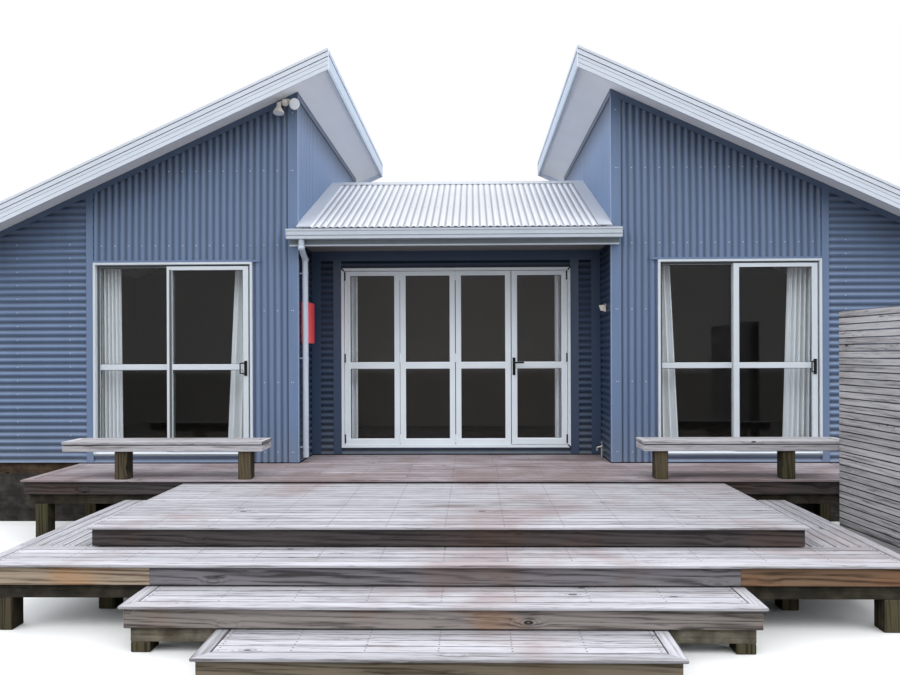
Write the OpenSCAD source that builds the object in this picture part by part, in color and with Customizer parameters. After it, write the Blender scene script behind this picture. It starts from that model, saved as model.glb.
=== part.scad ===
// Beach house: two pods with single-slope roofs, a low link between them, and a stepped timber deck.
// X runs to the right along the front, Y runs from the front to the back, Z is up from the ground.

/* [House plan] */
// Width of the link between the faces of the two pods
link_w = 3470; // [2900:10:4200]
// Width of each pod over its cladding
pod_w = 3770; // [3300:10:4600]
// Depth of each pod over its cladding
pod_depth = 3900; // [3600:10:5200]
// Depth of the recess in front of the link, and of the one behind it
recess_depth = 650; // [450:10:900]
// Thickness of the framed walls
wall_t = 110; // [90:5:150]
// Width of the open way between a pod and the link
way_w = 2100; // [1200:10:2200]

/* [Heights] */
// Rise of each step, and of the lowest one above the ground
riser = 154; // [130:1:180]
// Height of the verandah above the main deck
verandah_rise = 36; // [20:1:60]
// Height of the house floor above the verandah
floor_rise = 87; // [60:1:120]
// Thickness of the floor platform
floor_t = 200; // [150:10:260]
// Height of the door heads above the verandah
head_h = 2245; // [2150:5:2320]
// Height of the porch soffit above the verandah
porch_h = 2450; // [2400:10:2520]
// Height of the pod walls at their high corner, above the verandah
high_wall_h = 4135; // [4020:5:4300]
// Thickness of the base walls
base_t = 150; // [100:10:200]

/* [Pod roofs] */
// Slope of the pod roofs in degrees
pod_pitch = 24.5; // [21:0.5:26]
// Overhang of the high eave over the link
high_over = 410; // [250:10:500]
// Overhang of the barges past the gable walls
gable_over = 330; // [200:10:450]
// Overhang of the low eave
low_over = 400; // [250:10:500]
// Upright thickness of a roof deck
deck_t = 120; // [90:5:160]
// How far barges and fascias hang below the soffit
barge_drop = 70; // [40:5:90]
// How far barges and fascias stand above the soffit
barge_rise = 158; // [150:1:200]
// Thickness of barge boards and fascias
board_t = 25; // [18:1:35]

/* [Link roof] */
// Slope of the link roof in degrees
link_pitch = 25.5; // [20:0.5:27]
// How far the link roof sheet reaches past the pod fronts
link_over = 120; // [95:5:180]
// Height of the link roof's edge above the porch soffit
link_edge = 160; // [130:1:200]
// Reach of the porch fascia over each pod front
fascia_lap = 80; // [40:5:120]
// How far the porch fascia hangs below the porch soffit
porch_drop = 45; // [20:1:60]

/* [Cladding] */
// Pitch of the corrugations
rib_pitch = 76.2; // [60:0.1:100]
// Depth of the corrugations
rib_depth = 16.5; // [12:0.5:22]
// Flat share of a corrugation on each side of a crest or a valley
rib_flat = 0.12; // [0.08:0.01:0.2]
// Thickness of the cladding with its battens
clad_t = 25; // [24:1:40]
// Thickness of folded flashings
flash_t = 3; // [2:0.5:4]
// Face width of a corner flashing
corner_w = 110; // [70:5:140]
// Face width of the upright trim beside a sliding door
trim_w = 78; // [50:1:100]
// Height of the front cladding's lower edge above the verandah
clad_gap = 10; // [5:1:20]

/* [Gutters] */
// Height of a gutter
gutter_h = 108; // [90:1:130]
// Width of a gutter
gutter_w = 100; // [80:1:120]
// Diameter of the downpipes
pipe_d = 65; // [50:1:80]
// Distance from a wall face to the middle of a downpipe
pipe_off = 65; // [50:1:90]

/* [Sliding doors] */
// Width of a sliding door frame
slider_w = 1790; // [1600:10:1900]
// Distance from a pod's inner corner to the frame
slider_off = 515; // [400:5:600]
// Face width of the sliding door and window frames
frame_w = 40; // [35:1:55]
// Depth of the door frames
frame_d = 100; // [90:1:120]
// How far a door frame stands in front of the cladding
frame_proud = 12; // [8:1:20]
// Width of a sliding panel
panel_w = 915; // [880:5:960]
// Thickness of a sliding panel or a leaf
leaf_t = 36; // [30:1:40]
// Face width of the stiles of the sliding doors
stile_w = 58; // [50:1:75]
// Face height of the top rail of a sliding panel
top_rail = 40; // [30:1:60]
// Face height of the bottom rail of a sliding panel
foot_rail = 85; // [70:1:110]
// Face width of a fixed light's edges along the frame
fixed_edge = 12; // [8:1:30]
// Face height of the midrails
mid_rail = 58; // [45:1:75]
// Height of the middle of the midrails above the verandah
mid_h = 1074; // [950:2:1200]
// Clearance round a moving panel or leaf
door_gap = 6; // [5:0.5:8]
// Thickness of the sealed glass
glass_t = 20; // [14:1:24]

/* [Folding doors] */
// Width of the folding door frame
folding_w = 2750; // [2400:10:2900]
// Face width of the folding door frame
fold_face = 34; // [28:1:50]
// Face width of the stiles of a leaf
fold_stile = 56; // [45:1:70]
// Face height of the top rail of a leaf
fold_top = 40; // [30:1:60]
// Face height of the bottom rail of a leaf
fold_foot = 62; // [50:1:100]
// Width of the flat trims beside the folding doors
fold_trim = 100; // [60:1:120]
// Height of the flat band under the porch soffit
band_h = 115; // [80:5:140]
// Gap between the swing leaf and the folding leaf beside it
swing_gap = 9; // [8:0.5:12]
// Gap between the folding leaves
fold_gap = 3; // [1:0.5:4]
// Radius of a hinge knuckle
knuckle_r = 8; // [6:0.5:9]

/* [Deck] */
// Depth of the verandah in front of the pods
verandah_depth = 1035; // [900:5:1200]
// Half the length of the verandah
verandah_half = 4200; // [4130:10:5000]
// Depth of the main deck
main_depth = 1680; // [1300:10:2200]
// Half the width of the main deck
main_half = 2610; // [2400:10:2900]
// Depth of the lower deck in front of the main deck
lower_tread = 400; // [350:5:500]
// Width of the lower deck beside the main deck
lower_side = 560; // [400:10:650]
// Depth of the upper step
upper_tread = 345; // [300:5:420]
// Half the width of the upper step
upper_half = 2005; // [1700:5:2200]
// Depth of the bottom step
bottom_tread = 380; // [300:5:450]
// Half the width of the bottom step
bottom_half = 1403; // [1100:1:1600]
// Thickness of the deck boards
plank_t = 20; // [18:1:30]
// Gap between deck boards
plank_gap = 5; // [3:0.5:8]
// Thickness of the deck fascias
fascia_t = 30; // [20:1:40]
// Gap between a deck fascia and the deck below it
fascia_gap = 9; // [5:1:20]
// Face width of the deck beams
beam_w = 45; // [40:1:70]
// Height of the deck beams
beam_h = 95; // [60:1:100]
// Side of the square deck and bench posts
post_w = 125; // [100:1:150]

// Overhang of the deck boards past their fascias
nose = 25; // [10:1:30]
// Largest spacing of the joists
joist_pitch = 870; // [450:10:1000]

/* [Back windows] */
// Width of the window in the back wall of a pod
window_w = 1200; // [900:10:1400]
// Distance from a pod's inner corner to the middle of its window
window_place = 900; // [850:10:1200]
// Height of the back windows
window_h = 1100; // [800:10:1500]

/* [Benches] */
// Distance from the house's middle line to a bench
bench_start = 1835; // [1750:5:2000]
// Length of a bench
bench_len = 1960; // [1500:10:2100]
// Height of the seat above the verandah
seat_h = 370; // [330:1:450]
// Depth of the seat
seat_d = 330; // [280:5:400]
// Height of the seat's edge boards
seat_edge = 96; // [70:1:110]
// Thickness of the seat's boards
seat_t = 28; // [20:1:35]

/* [Screen] */
// Distance from the end of the verandah to the screen
screen_inset = 520; // [200:10:600]
// Length of the screen
screen_len = 1800; // [1200:10:2400]
// Turn of the screen away from the house's middle line in degrees
screen_turn = 5; // [0:1:8]
// Height of the screen above the verandah
screen_h = 1600; // [1200:10:1900]
// Height of a slat
slat_h = 56; // [40:1:90]
// Gap between slats
slat_gap = 7; // [5:1:15]
// Thickness of a slat
slat_t = 20; // [15:1:30]

/* [Fittings] */
// Height of the red case
case_h = 470; // [350:5:600]
// Length of the red case along the wall
case_l = 380; // [250:5:400]
// Depth of the red case
case_d = 95; // [70:1:140]
// Diameter of a floodlight's rim
lamp_d = 120; // [90:1:150]

/* [Hidden] */
$fn = 32;

// Levels above the ground
bottom_z = riser;
upper_z = 2 * riser;
lower_z = 3 * riser;
main_z = 4 * riser;
verandah_z = main_z + verandah_rise;

// Fronts of the decks, measured from the pod fronts
main_front = verandah_depth + main_depth;
lower_front = main_front + lower_tread;
upper_front = lower_front + upper_tread;
bottom_front = upper_front + bottom_tread;
lower_half = main_half + lower_side;
fascia_h = riser - plank_t - fascia_gap;

// Clearance between pieces that rest on each other or run past each other
run_gap = 0.3;

// Plan places: the origin is in the middle between the bottom step and the back barges
wall_y = (bottom_front - pod_depth - gable_over) / 2;
corner = link_w / 2;
pod_end = corner + pod_w;
wall_x = corner + clad_t;
back_y = pod_depth - clad_t;
ridge_y = pod_depth / 2;
slider_x = corner + slider_off;
slider_end = slider_x + slider_w;
link_wall = recess_depth + clad_t;
low_edge = floor_rise - floor_t;

// Roof planes
pod_slope = tan(pod_pitch);
link_slope = tan(link_pitch);
sheet_t = rib_depth + flash_t;
pod_sheet = sheet_t / cos(pod_pitch) + run_gap;
link_sheet = sheet_t / cos(link_pitch) + run_gap;
high_x = corner - high_over;
low_x = pod_end + low_over;
roof_fit = 5;
sheet_lip = 60;
eave_y = sheet_lip - link_over;
link_half = corner - roof_fit;
cap_w = 85;
ridge_h = porch_h + link_edge + link_slope * (ridge_y + link_over);
function pod_soffit(x) = high_wall_h - pod_slope * (x - corner);
function link_top(y) = ridge_h - link_slope * abs(y - ridge_y);
function link_deck_top(y) = link_top(y) - link_sheet;
function link_ceiling(y) = link_deck_top(y) - deck_t;

// Door places
sill_top = floor_rise + frame_w;
head_low = head_h - frame_w;
panel_x = slider_w - frame_w - door_gap - panel_w;
panel_z = sill_top + door_gap;
panel_h = head_low - door_gap - panel_z;
inner_track = leaf_t + 10;
fold_half = folding_w / 2;
fold_in = fold_half - fold_face;
leaf_w = (2 * fold_in - 2 * door_gap - 2 * fold_gap - swing_gap) / 4;
leaf_pitch = leaf_w + fold_gap;
swing_x = fold_in - door_gap - leaf_w;
leaf_z = floor_rise + fold_face + run_gap;
leaf_h = head_h - fold_face - door_gap - leaf_z;
hinge_x = fold_in - knuckle_r - 1;
hinge_y = recess_depth - knuckle_r - 1;
hinge_heights = [floor_rise + 105, mid_h + 90, head_h - 97];
knuckle_h = 35;

// Places a shape in the house's own levels: zero is the verandah at the pod fronts
module on_house() translate([0, wall_y, verandah_z]) children();

// Places a shape on the ground below the pod fronts
module on_ground() translate([0, wall_y, 0]) children();

// A shape and its mirror image across the house's middle line
module both_sides() {
    children();
    mirror([1, 0, 0]) children();
}

// A shape at the back that mirrors the one at the front
module at_back() translate([0, pod_depth, 0]) mirror([0, 1, 0]) children();

// A shape at the front and its mirror image at the back
module front_and_back() {
    children();
    at_back() children();
}

// A box given by its lowest and highest corners
module block(low, high) translate(low) cube(high - low);

// An outline in x and z made into an upright slab between two y places
module upright(y0, y1) translate([0, y1, 0]) rotate([90, 0, 0]) linear_extrude(y1 - y0) children();

// An outline in y and z made into a bar between two x places
module across(x0, x1) translate([x0, 0, 0]) rotate([90, 0, 90]) linear_extrude(x1 - x0) children();

// An outline from a level z0 up to just under the pod soffit, and the prism made from it
module soffit_outline(x0, x1, z0) {
    polygon([[x0, z0], [x1, z0], [x1, pod_soffit(x1) - run_gap], [x0, pod_soffit(x0) - run_gap]]);
}
module under_soffit(x0, x1, y0, y1, z0) upright(y0, y1) soffit_outline(x0, x1, z0);

// A slab that follows the pod soffit between two offsets above it
module along_slope(x0, x1, y0, y1, low, high) {
    upright(y0, y1) polygon([[x0, pod_soffit(x0) + low], [x1, pod_soffit(x1) + low],
        [x1, pod_soffit(x1) + high], [x0, pod_soffit(x0) + high]]);
}

// A slab that follows the front slope of the link roof between two offsets from its top
module along_link(x0, x1, y0, y1, low, high) {
    across(x0, x1) polygon([[y0, link_top(y0) + low], [y1, link_top(y1) + low],
        [y1, link_top(y1) + high], [y0, link_top(y0) + high]]);
}

// The wavy line of a corrugated sheet from the middle of a crest
rib_corners = [rib_flat, 0.5 - rib_flat, 0.5 + rib_flat, 1 - rib_flat];
rib_heights = [0, rib_depth, rib_depth, 0];
rib_table = concat([[0, 0]], [for (i = [0 : 3]) [rib_corners[i], rib_heights[i]]], [[1, 0]]);
function waves(len) = concat([[0, 0]],
    [for (i = [0 : floor(len / rib_pitch)]) for (k = [0 : 3])
        let (u = (i + rib_corners[k]) * rib_pitch) if (u < len - 0.01) [u, rib_heights[k]]],
    [[len, lookup(len / rib_pitch - floor(len / rib_pitch), rib_table)]]);

// Cladding with upright ribs: its crests are at y 0 and its back is at clad_t
module upright_ribs(len, height) {
    linear_extrude(height) polygon(concat(waves(len), [[len, clad_t], [0, clad_t]]));
}

// Cladding with level ribs
module level_ribs(len, height) {
    translate([len, 0, 0]) rotate([0, -90, 0]) linear_extrude(len)
        polygon(concat(waves(height), [[height, clad_t], [0, clad_t]]));
}

// A corrugated roof sheet that falls along x at a pitch, with its first crest on the origin
module roof_sheet(run, width, pitch) {
    crests = waves(width);
    count = len(crests);
    rotate([0, pitch, 0]) rotate([90, 0, 90]) linear_extrude(run) polygon(concat(
        [for (i = [0 : count - 1]) [crests[i][0], -crests[i][1]]],
        [for (i = [1 : count]) [crests[count - i][0], -crests[count - i][1] - flash_t]]));
}

// A rod between two points
module rod(a, b, d) {
    span = b - a;
    translate(a) rotate([0, acos(span[2] / norm(span)), atan2(span[1], span[0])])
        cylinder(d = d, h = norm(span));
}

// Structure

module foundation_walls() {
    base_h = verandah_z + low_edge;
    color("darkgray") on_ground() {
        both_sides() difference() {
            block([wall_x, clad_t, 0], [pod_end - clad_t, back_y, base_h]);
            block([wall_x + base_t, clad_t + base_t, -1],
                [pod_end - clad_t - base_t, back_y - base_t, base_h + 1]);
        }
        front_and_back() block([-wall_x, link_wall, 0], [wall_x, link_wall + base_t, base_h]);
    }
}

module floors() {
    link_floor = wall_x - roof_fit;
    color("burlywood") on_house() {
        both_sides() block([wall_x, clad_t, low_edge], [pod_end - clad_t, back_y, floor_rise]);
        block([-link_floor, link_wall, low_edge], [link_floor, pod_depth - link_wall, floor_rise]);
    }
}

module front_wall_piers() {
    color("slategray") on_house() both_sides() {
        block([wall_x, clad_t, floor_rise], [slider_x, clad_t + wall_t, head_h]);
        block([slider_end, clad_t, floor_rise], [pod_end - clad_t, clad_t + wall_t, head_h]);
        block([fold_half, link_wall, floor_rise], [wall_x - roof_fit, link_wall + wall_t, head_h]);
    }
}

// The outline of a wall of the link from a level up to the underside of its roof
module link_wall_outline(z0) {
    y0 = link_wall;
    y1 = link_wall + wall_t;
    polygon([[y0, z0], [y1, z0], [y1, link_ceiling(y1) - run_gap], [y0, link_ceiling(y0) - run_gap]]);
}

module walls_over_doors() {
    color("slategray") on_house() {
        both_sides() under_soffit(wall_x, pod_end - clad_t, clad_t, clad_t + wall_t, head_h);
        across(roof_fit - wall_x, wall_x - roof_fit) link_wall_outline(head_h);
    }
}

module inner_wall_piers() {
    color("slategray") on_house() both_sides() front_and_back()
        block([wall_x, clad_t + wall_t, floor_rise],
            [wall_x + wall_t, (pod_depth - way_w) / 2, porch_h]);
}

module side_walls() {
    y0 = clad_t + wall_t;
    y1 = back_y - wall_t;
    color("slategray") on_house() both_sides() {
        under_soffit(wall_x, wall_x + wall_t, y0, y1, porch_h);
        under_soffit(pod_end - clad_t - wall_t, pod_end - clad_t, y0, y1, floor_rise);
    }
}

// Places a window in the back wall of a pod, and cuts its hole
module window_spot() translate([corner + window_place, 0, 0]) children();
module window_hole() window_spot() block([-window_w / 2, pod_depth / 2, head_h - window_h],
    [window_w / 2, pod_depth * 2, head_h]);

module rear_walls() {
    color("slategray") on_house() {
        both_sides() difference() {
            under_soffit(wall_x, pod_end - clad_t, back_y - wall_t, back_y, floor_rise);
            window_hole();
        }
        at_back() across(roof_fit - wall_x, wall_x - roof_fit) link_wall_outline(floor_rise);
    }
}

// Cladding

// Space taken by a sliding door and the level ribs under it
module slider_hole() block([slider_x, -100, 0], [slider_end + 1, 100, head_h]);

// Upright corrugated sheet on the pod fronts and on their inner walls above the link roof
module vertical_cladding() {
    full_h = pod_soffit(corner) + 100;
    color("steelblue") on_house() both_sides() {
        difference() {
            intersection() {
                translate([corner, 0, clad_gap]) upright_ribs(slider_end - corner, full_h);
                under_soffit(corner - 1, slider_end + 1, -1, clad_t + 1, clad_gap - 1);
            }
            slider_hole();
        }
        difference() {
            intersection() {
                translate([corner, back_y, porch_h]) rotate([0, 0, -90])
                    upright_ribs(back_y - clad_t, full_h);
                under_soffit(corner - 1, wall_x + 1, 0, pod_depth, porch_h - 1);
            }
            front_and_back()
                across(corner - 2, wall_x + 2) polygon([[-1, porch_h - 2], [ridge_y + 1, porch_h - 2],
                    [ridge_y + 1, ridge_h + flash_t + 1], [-1, link_top(-1) + flash_t + 1]]);
        }
    }
}

// Level corrugated sheet on the outer parts of the fronts, the recesses, the sides and the back
module horizontal_cladding() {
    recess_h = porch_h - clad_gap;
    wall_h = pod_soffit(slider_end) + 200;
    joint = 1;
    recess_run = recess_depth - clad_t - 2 * joint;
    color("steelblue") on_house() {
        both_sides() {
            translate([slider_x + joint, 0, clad_gap])
                level_ribs(slider_w - 2 * joint, floor_rise - clad_gap - run_gap);
            intersection() {
                translate([slider_end, 0, clad_gap]) level_ribs(pod_end - slider_end, wall_h);
                under_soffit(slider_end - 1, pod_end + 1, -1, clad_t + 1, clad_gap - 1);
            }
            translate([corner, recess_depth - joint, clad_gap]) rotate([0, 0, -90])
                level_ribs(recess_run, recess_h);
            at_back() translate([corner, recess_depth - joint, low_edge]) rotate([0, 0, -90])
                level_ribs(recess_run, porch_h - low_edge);
            intersection() {
                translate([pod_end, clad_t + joint, low_edge]) rotate([0, 0, 90])
                    level_ribs(back_y - clad_t - 2 * joint, wall_h);
                under_soffit(pod_end - clad_t - 1, pod_end + 1, 0, pod_depth, low_edge - 1);
            }
            difference() {
                intersection() {
                    translate([pod_end, pod_depth, low_edge]) rotate([0, 0, 180])
                        level_ribs(pod_w, pod_soffit(corner) + 200);
                    under_soffit(corner - 1, pod_end + 1, back_y - 1, pod_depth + 1, low_edge - 1);
                }
                window_hole();
            }
        }
        difference() {
            translate([-wall_x, recess_depth, clad_gap]) level_ribs(2 * wall_x, recess_h);
            block([-fold_half, 0, floor_rise], [fold_half, link_wall + 1, head_h]);
        }
        at_back() translate([-wall_x, recess_depth, low_edge])
            level_ribs(2 * wall_x, porch_h - low_edge);
    }
}

// Folded corner flashings, the upright trims beside the sliding doors and the head flashings
module wall_flashings() {
    head_lap = 85;
    side_leg = 50;
    top_strip = 60;
    top_gap = 12;
    color("steelblue") on_house() both_sides() {
        upright(recess_depth - flash_t, recess_depth) {
            translate([fold_half, clad_gap]) square([fold_trim, porch_h - flash_t - clad_gap]);
            translate([corner - corner_w, clad_gap]) square([corner_w, porch_h - flash_t - clad_gap]);
            translate([-1, porch_h - band_h]) square([corner + 1, band_h - flash_t]);
        }
        upright(-flash_t, 0) {
            soffit_outline(corner - flash_t, corner + corner_w, clad_gap);
            soffit_outline(slider_end, slider_end + trim_w, clad_gap);
            soffit_outline(pod_end - corner_w, pod_end + flash_t, clad_gap);
            polygon([[corner, high_wall_h - top_strip - top_gap], [corner, high_wall_h - 2],
                [pod_end, pod_soffit(pod_end) - 2], [pod_end, pod_soffit(pod_end) - top_strip - top_gap]]);
        }
        block([corner - flash_t, 0, clad_gap], [corner, side_leg, porch_h - flash_t]);
        block([pod_end, 0, clad_gap],
            [pod_end + flash_t, corner_w, pod_soffit(pod_end + flash_t) - run_gap]);
        block([slider_x - head_lap, -frame_proud, head_h], [slider_end, 0, head_h + 22]);
        block([corner - flash_t, 0, high_wall_h - top_strip - top_gap],
            [corner, pod_depth, high_wall_h - top_gap]);
    }
}

// Roofs

module roof_decks() {
    color("whitesmoke") on_house() {
        both_sides() along_slope(high_x + board_t, low_x, board_t - gable_over,
            pod_depth + gable_over - board_t, 0, deck_t);
        front_and_back() along_link(-link_half, link_half, eave_y + board_t, ridge_y - 2,
            -link_sheet - deck_t, -link_sheet);
    }
}

module roof_sheets() {
    start = high_x + board_t + 10;
    pod_run = (low_x + sheet_lip - start) / cos(pod_pitch);
    link_run = (ridge_y - 10 + link_over) / cos(link_pitch);
    fit = board_t + 2;
    color("gainsboro") on_house() {
        both_sides() translate([start, fit - gable_over, pod_soffit(start) + deck_t + pod_sheet])
            roof_sheet(pod_run, pod_depth + 2 * (gable_over - fit), pod_pitch);
        front_and_back() translate([-link_half, ridge_y - 10, link_top(ridge_y - 10)])
            rotate([0, 0, -90]) roof_sheet(link_run, 2 * link_half, link_pitch);
    }
}

// Barge boards with a stepped cap and a bead along the bottom
module barge_boards() {
    end = low_x + board_t;
    top_face = 28;
    band_face = 85;
    lip_face = 45;
    color("aliceblue") on_house() both_sides() front_and_back() {
        along_slope(high_x, end, 8 - gable_over, board_t - gable_over, -barge_drop, barge_rise);
        along_slope(high_x, end, -gable_over, 8 - gable_over, barge_rise - top_face, barge_rise);
        along_slope(high_x, end, 4 - gable_over, 8 - gable_over, barge_rise - band_face,
            barge_rise - top_face);
        along_slope(high_x, end, 2 - gable_over, 8 - gable_over, -barge_drop, lip_face - barge_drop);
        along_slope(high_x, end, board_t - gable_over, cap_w - gable_over,
            barge_rise - flash_t, barge_rise);
    }
}

// Fascias along the high eaves, the low eaves and the porches
module eave_fascias() {
    y0 = board_t - gable_over;
    y1 = pod_depth - y0;
    top = link_deck_top(eave_y) - 10;
    lap = corner + fascia_lap;
    low_top = pod_soffit(low_x + board_t) + deck_t - 2;
    high_top = barge_rise - flash_t - run_gap;
    high_lip = 48;
    color("aliceblue") on_house() {
        both_sides() {
            along_slope(high_x + 6, high_x + board_t, y0, y1, -barge_drop, high_top);
            along_slope(high_x, high_x + 7, y0, y1, barge_rise - high_lip, high_top);
            block([low_x, y0, pod_soffit(low_x) - barge_drop], [low_x + board_t, y1, low_top]);
        }
        front_and_back() {
            block([-lap, eave_y, porch_h - porch_drop], [lap, eave_y + board_t, top]);
            block([-lap, eave_y - 5, porch_h - porch_drop], [lap, eave_y, porch_h - porch_drop + 18]);
        }
    }
}

// Open gutter with a stepped front and closed ends: its back is at y 0 and its lip at z 0
module gutter(len) {
    low = -gutter_h;
    front = -gutter_w;
    skin = flash_t;
    translate([-len / 2, 0, 0]) {
        across(0, len) polygon([[0, -20], [0, low], [front + 10, low], [front + 10, low + 34],
            [front + 5, low + 40], [front + 5, -26], [front, -20], [front, 0], [front + skin, 0],
            [front + skin, -18], [front + 5 + skin, -24], [front + 5 + skin, low + 42],
            [front + 10 + skin, low + 36], [front + 10 + skin, low + skin], [-skin, low + skin],
            [-skin, -20]]);
        for (x = [0, len - skin]) across(x, x + skin)
            polygon([[0, -20], [0, low], [front + 10, low], [front + 5, low + 40], [front, -20],
                [front, 0], [-20, 0]]);
    }
}

porch_lip = link_deck_top(-link_over) - 5;
pod_lip = pod_soffit(low_x + sheet_lip) + deck_t - 5;

module gutters() {
    color("gainsboro") on_house() {
        front_and_back() translate([0, eave_y, porch_lip]) gutter(2 * (corner + fascia_lap + 18));
        both_sides() translate([low_x + board_t, pod_depth / 2, pod_lip]) rotate([0, 0, 90])
            gutter(pod_depth + 2 * gable_over);
    }
}

// A round pipe from a gutter's outlet, back to a wall and down it, with a socket at each bend
module downpipe(top, low, foot_z, wall) {
    foot = [low[0], low[1], foot_z];
    stub = top - [0, 0, 1.5 * pipe_d];
    color("lightsteelblue") {
        rod(top, stub, pipe_d);
        translate(stub) sphere(d = pipe_d + 12);
        rod(stub, low, pipe_d);
        translate(low) sphere(d = pipe_d + 12);
        rod(low, foot, pipe_d);
        for (share = [0.05, 0.5, 0.93]) {
            z = foot_z + share * (low[2] - foot_z);
            rod([low[0], low[1], z], [low[0] + wall[0], low[1] + wall[1], z], 16);
            translate([low[0], low[1], z - 12]) cylinder(d = pipe_d + 5, h = 24);
        }
    }
}

module downpipes() {
    out_y = eave_y - gutter_w / 2;
    gutter_z = porch_lip - gutter_h;
    side_x = corner - pipe_off;
    drop_z = 80 - verandah_z;
    out_x = low_x + board_t + gutter_w / 2;
    on_house() {
        downpipe([-side_x, out_y, gutter_z], [-side_x, 60, gutter_z - 200], 60, [-pipe_off, 0]);
        at_back() downpipe([-side_x, out_y, gutter_z], [-side_x, 60, gutter_z - 200], drop_z,
            [-pipe_off, 0]);
        both_sides() downpipe([out_x, pod_depth - 300, pod_lip - gutter_h],
            [pod_end + pipe_off, pod_depth - 300, pod_lip - gutter_h - 300], drop_z, [-pipe_off, 0]);
    }
}

// Ridge cap and the flat side flashings of the link roof, which run in under the wall cladding
module link_roof_flashings() {
    strip_w = 150;
    cap_half = 150;
    color("gainsboro") on_house() front_and_back() {
        both_sides() {
            along_link(link_half - strip_w, link_half, -link_over, ridge_y, run_gap, flash_t);
            along_link(link_half - 1, wall_x - 2, clad_t + 1, ridge_y, run_gap, flash_t);
        }
        along_link(-link_half, link_half, ridge_y - cap_half, ridge_y, run_gap, flash_t);
    }
}

module porch_soffits() {
    color("silver") on_house() front_and_back()
        block([-link_half, eave_y + board_t, porch_h], [link_half, recess_depth, porch_h + 12]);
}

// Doors and windows

// The outline of a rectangular ring
module ring(x0, z0, w, h, face) {
    translate([x0, z0]) difference() {
        square([w, h]);
        translate([face, face]) square([w - 2 * face, h - 2 * face]);
    }
}

// Face widths at the left, right, bottom and top of a leaf
panel_rim = [stile_w, stile_w, foot_rail, top_rail];
fixed_rim = [fixed_edge, stile_w, foot_rail, fixed_edge];
fold_rim = [fold_stile, fold_stile, fold_foot, fold_top];

// The two panes of a glazed leaf: each is given by its left, bottom, width and height
function panes(x0, z0, w, h, rim) =
    let (x = x0 + rim[0], pane_w = w - rim[0] - rim[1], low = z0 + rim[2],
        split = mid_h - mid_rail / 2, above = mid_h + mid_rail / 2, high = z0 + h - rim[3])
    [[x, low, pane_w, split - low], [x, above, pane_w, high - above]];

// A glazed leaf with two stiles, a top rail, a midrail and a deep bottom rail
module leaf_outline(x0, z0, w, h, rim) {
    difference() {
        translate([x0, z0]) square([w, h]);
        leaf_panes(x0, z0, w, h, rim);
    }
}

module leaf_panes(x0, z0, w, h, rim) {
    for (p = panes(x0, z0, w, h, rim)) translate([p[0], p[1]]) square([p[2], p[3]]);
}

// The y places of the glass in a leaf whose face is at y0
module glazed(y0) upright(y0 + (leaf_t - glass_t) / 2, y0 + (leaf_t + glass_t) / 2) children();

// Places a sliding door in each pod front: both slide to the left
module at_left_slider() translate([-slider_end, 0, 0]) children();
module at_right_slider() translate([slider_x, 0, 0]) children();

fixed_x = frame_w;
fixed_w = panel_x + stile_w - frame_w;
fixed_h = head_low - sill_top;

module slider_frames() {
    rail_y = leaf_t / 2;
    color("white") on_house() {
        at_left_slider() slider_frame(rail_y);
        at_right_slider() slider_frame(rail_y);
    }
}

module slider_frame(rail_y) {
    upright(-frame_proud, frame_d - frame_proud) ring(0, floor_rise, slider_w, door_h, frame_w);
    upright(inner_track, inner_track + leaf_t) leaf_outline(fixed_x, sill_top, fixed_w, fixed_h,
        fixed_rim);
    block([frame_w, rail_y - 4, sill_top], [slider_w - frame_w, rail_y + 4, panel_z - run_gap]);
}

door_h = head_h - floor_rise;

module sliding_panel() {
    color("white") upright(0, leaf_t) leaf_outline(panel_x, panel_z, panel_w, panel_h, panel_rim);
}

module sliding_glass() {
    color("lightblue", 0.5) glazed(0) leaf_panes(panel_x, panel_z, panel_w, panel_h, panel_rim);
}

// A bow handle that reaches out to the side of its back plate
module pull_handle() {
    x = panel_x + panel_w - stile_w / 2;
    z = mid_h - 15;
    plate = 84;
    foot = 62;
    grip = 54;
    reach = [-52, -30, 0];
    bar = 13;
    ball = bar + 1;
    color("black") {
        block([x - 16, -6, z - plate], [x + 16, 0, z + plate]);
        for (end = [-1, 1]) {
            rod([x - 6, -bar / 2, z + end * foot], [x, -6, z + end * grip] + reach, bar);
            translate([x, -6, z + end * grip] + reach) sphere(d = ball);
        }
        rod([x, -6, z - grip] + reach, [x, -6, z + grip] + reach, bar);
    }
}

module left_sliding_panel() on_house() at_left_slider() sliding_panel();
module left_sliding_glass() on_house() at_left_slider() sliding_glass();
module left_panel_handle() on_house() at_left_slider() pull_handle();
module right_sliding_panel() on_house() at_right_slider() sliding_panel();
module right_sliding_glass() on_house() at_right_slider() sliding_glass();
module right_panel_handle() on_house() at_right_slider() pull_handle();

// The two outer knuckles of each hinge, on the right jamb
module jamb_knuckles() {
    for (z = hinge_heights) for (end = [-1, 1]) {
        low = z + end * (knuckle_h + run_gap) - knuckle_h / 2;
        translate([hinge_x, hinge_y, low]) cylinder(r = knuckle_r, h = knuckle_h);
        block([hinge_x, hinge_y - 3, low], [fold_in + 4, hinge_y + 3, low + knuckle_h]);
    }
}

// The middle knuckle of each hinge, with its plate on the leaf
module leaf_knuckles() {
    for (z = hinge_heights) {
        translate([hinge_x, hinge_y, z - knuckle_h / 2]) cylinder(r = knuckle_r, h = knuckle_h);
        block([hinge_x - 30, hinge_y, z - knuckle_h / 2], [hinge_x, recess_depth, z + knuckle_h / 2]);
    }
}

module folding_frame() {
    color("white") on_house() {
        upright(recess_depth - frame_proud, recess_depth - frame_proud + frame_d)
            ring(-fold_half, floor_rise, folding_w, door_h, fold_face);
        both_sides() jamb_knuckles();
    }
}

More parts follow.
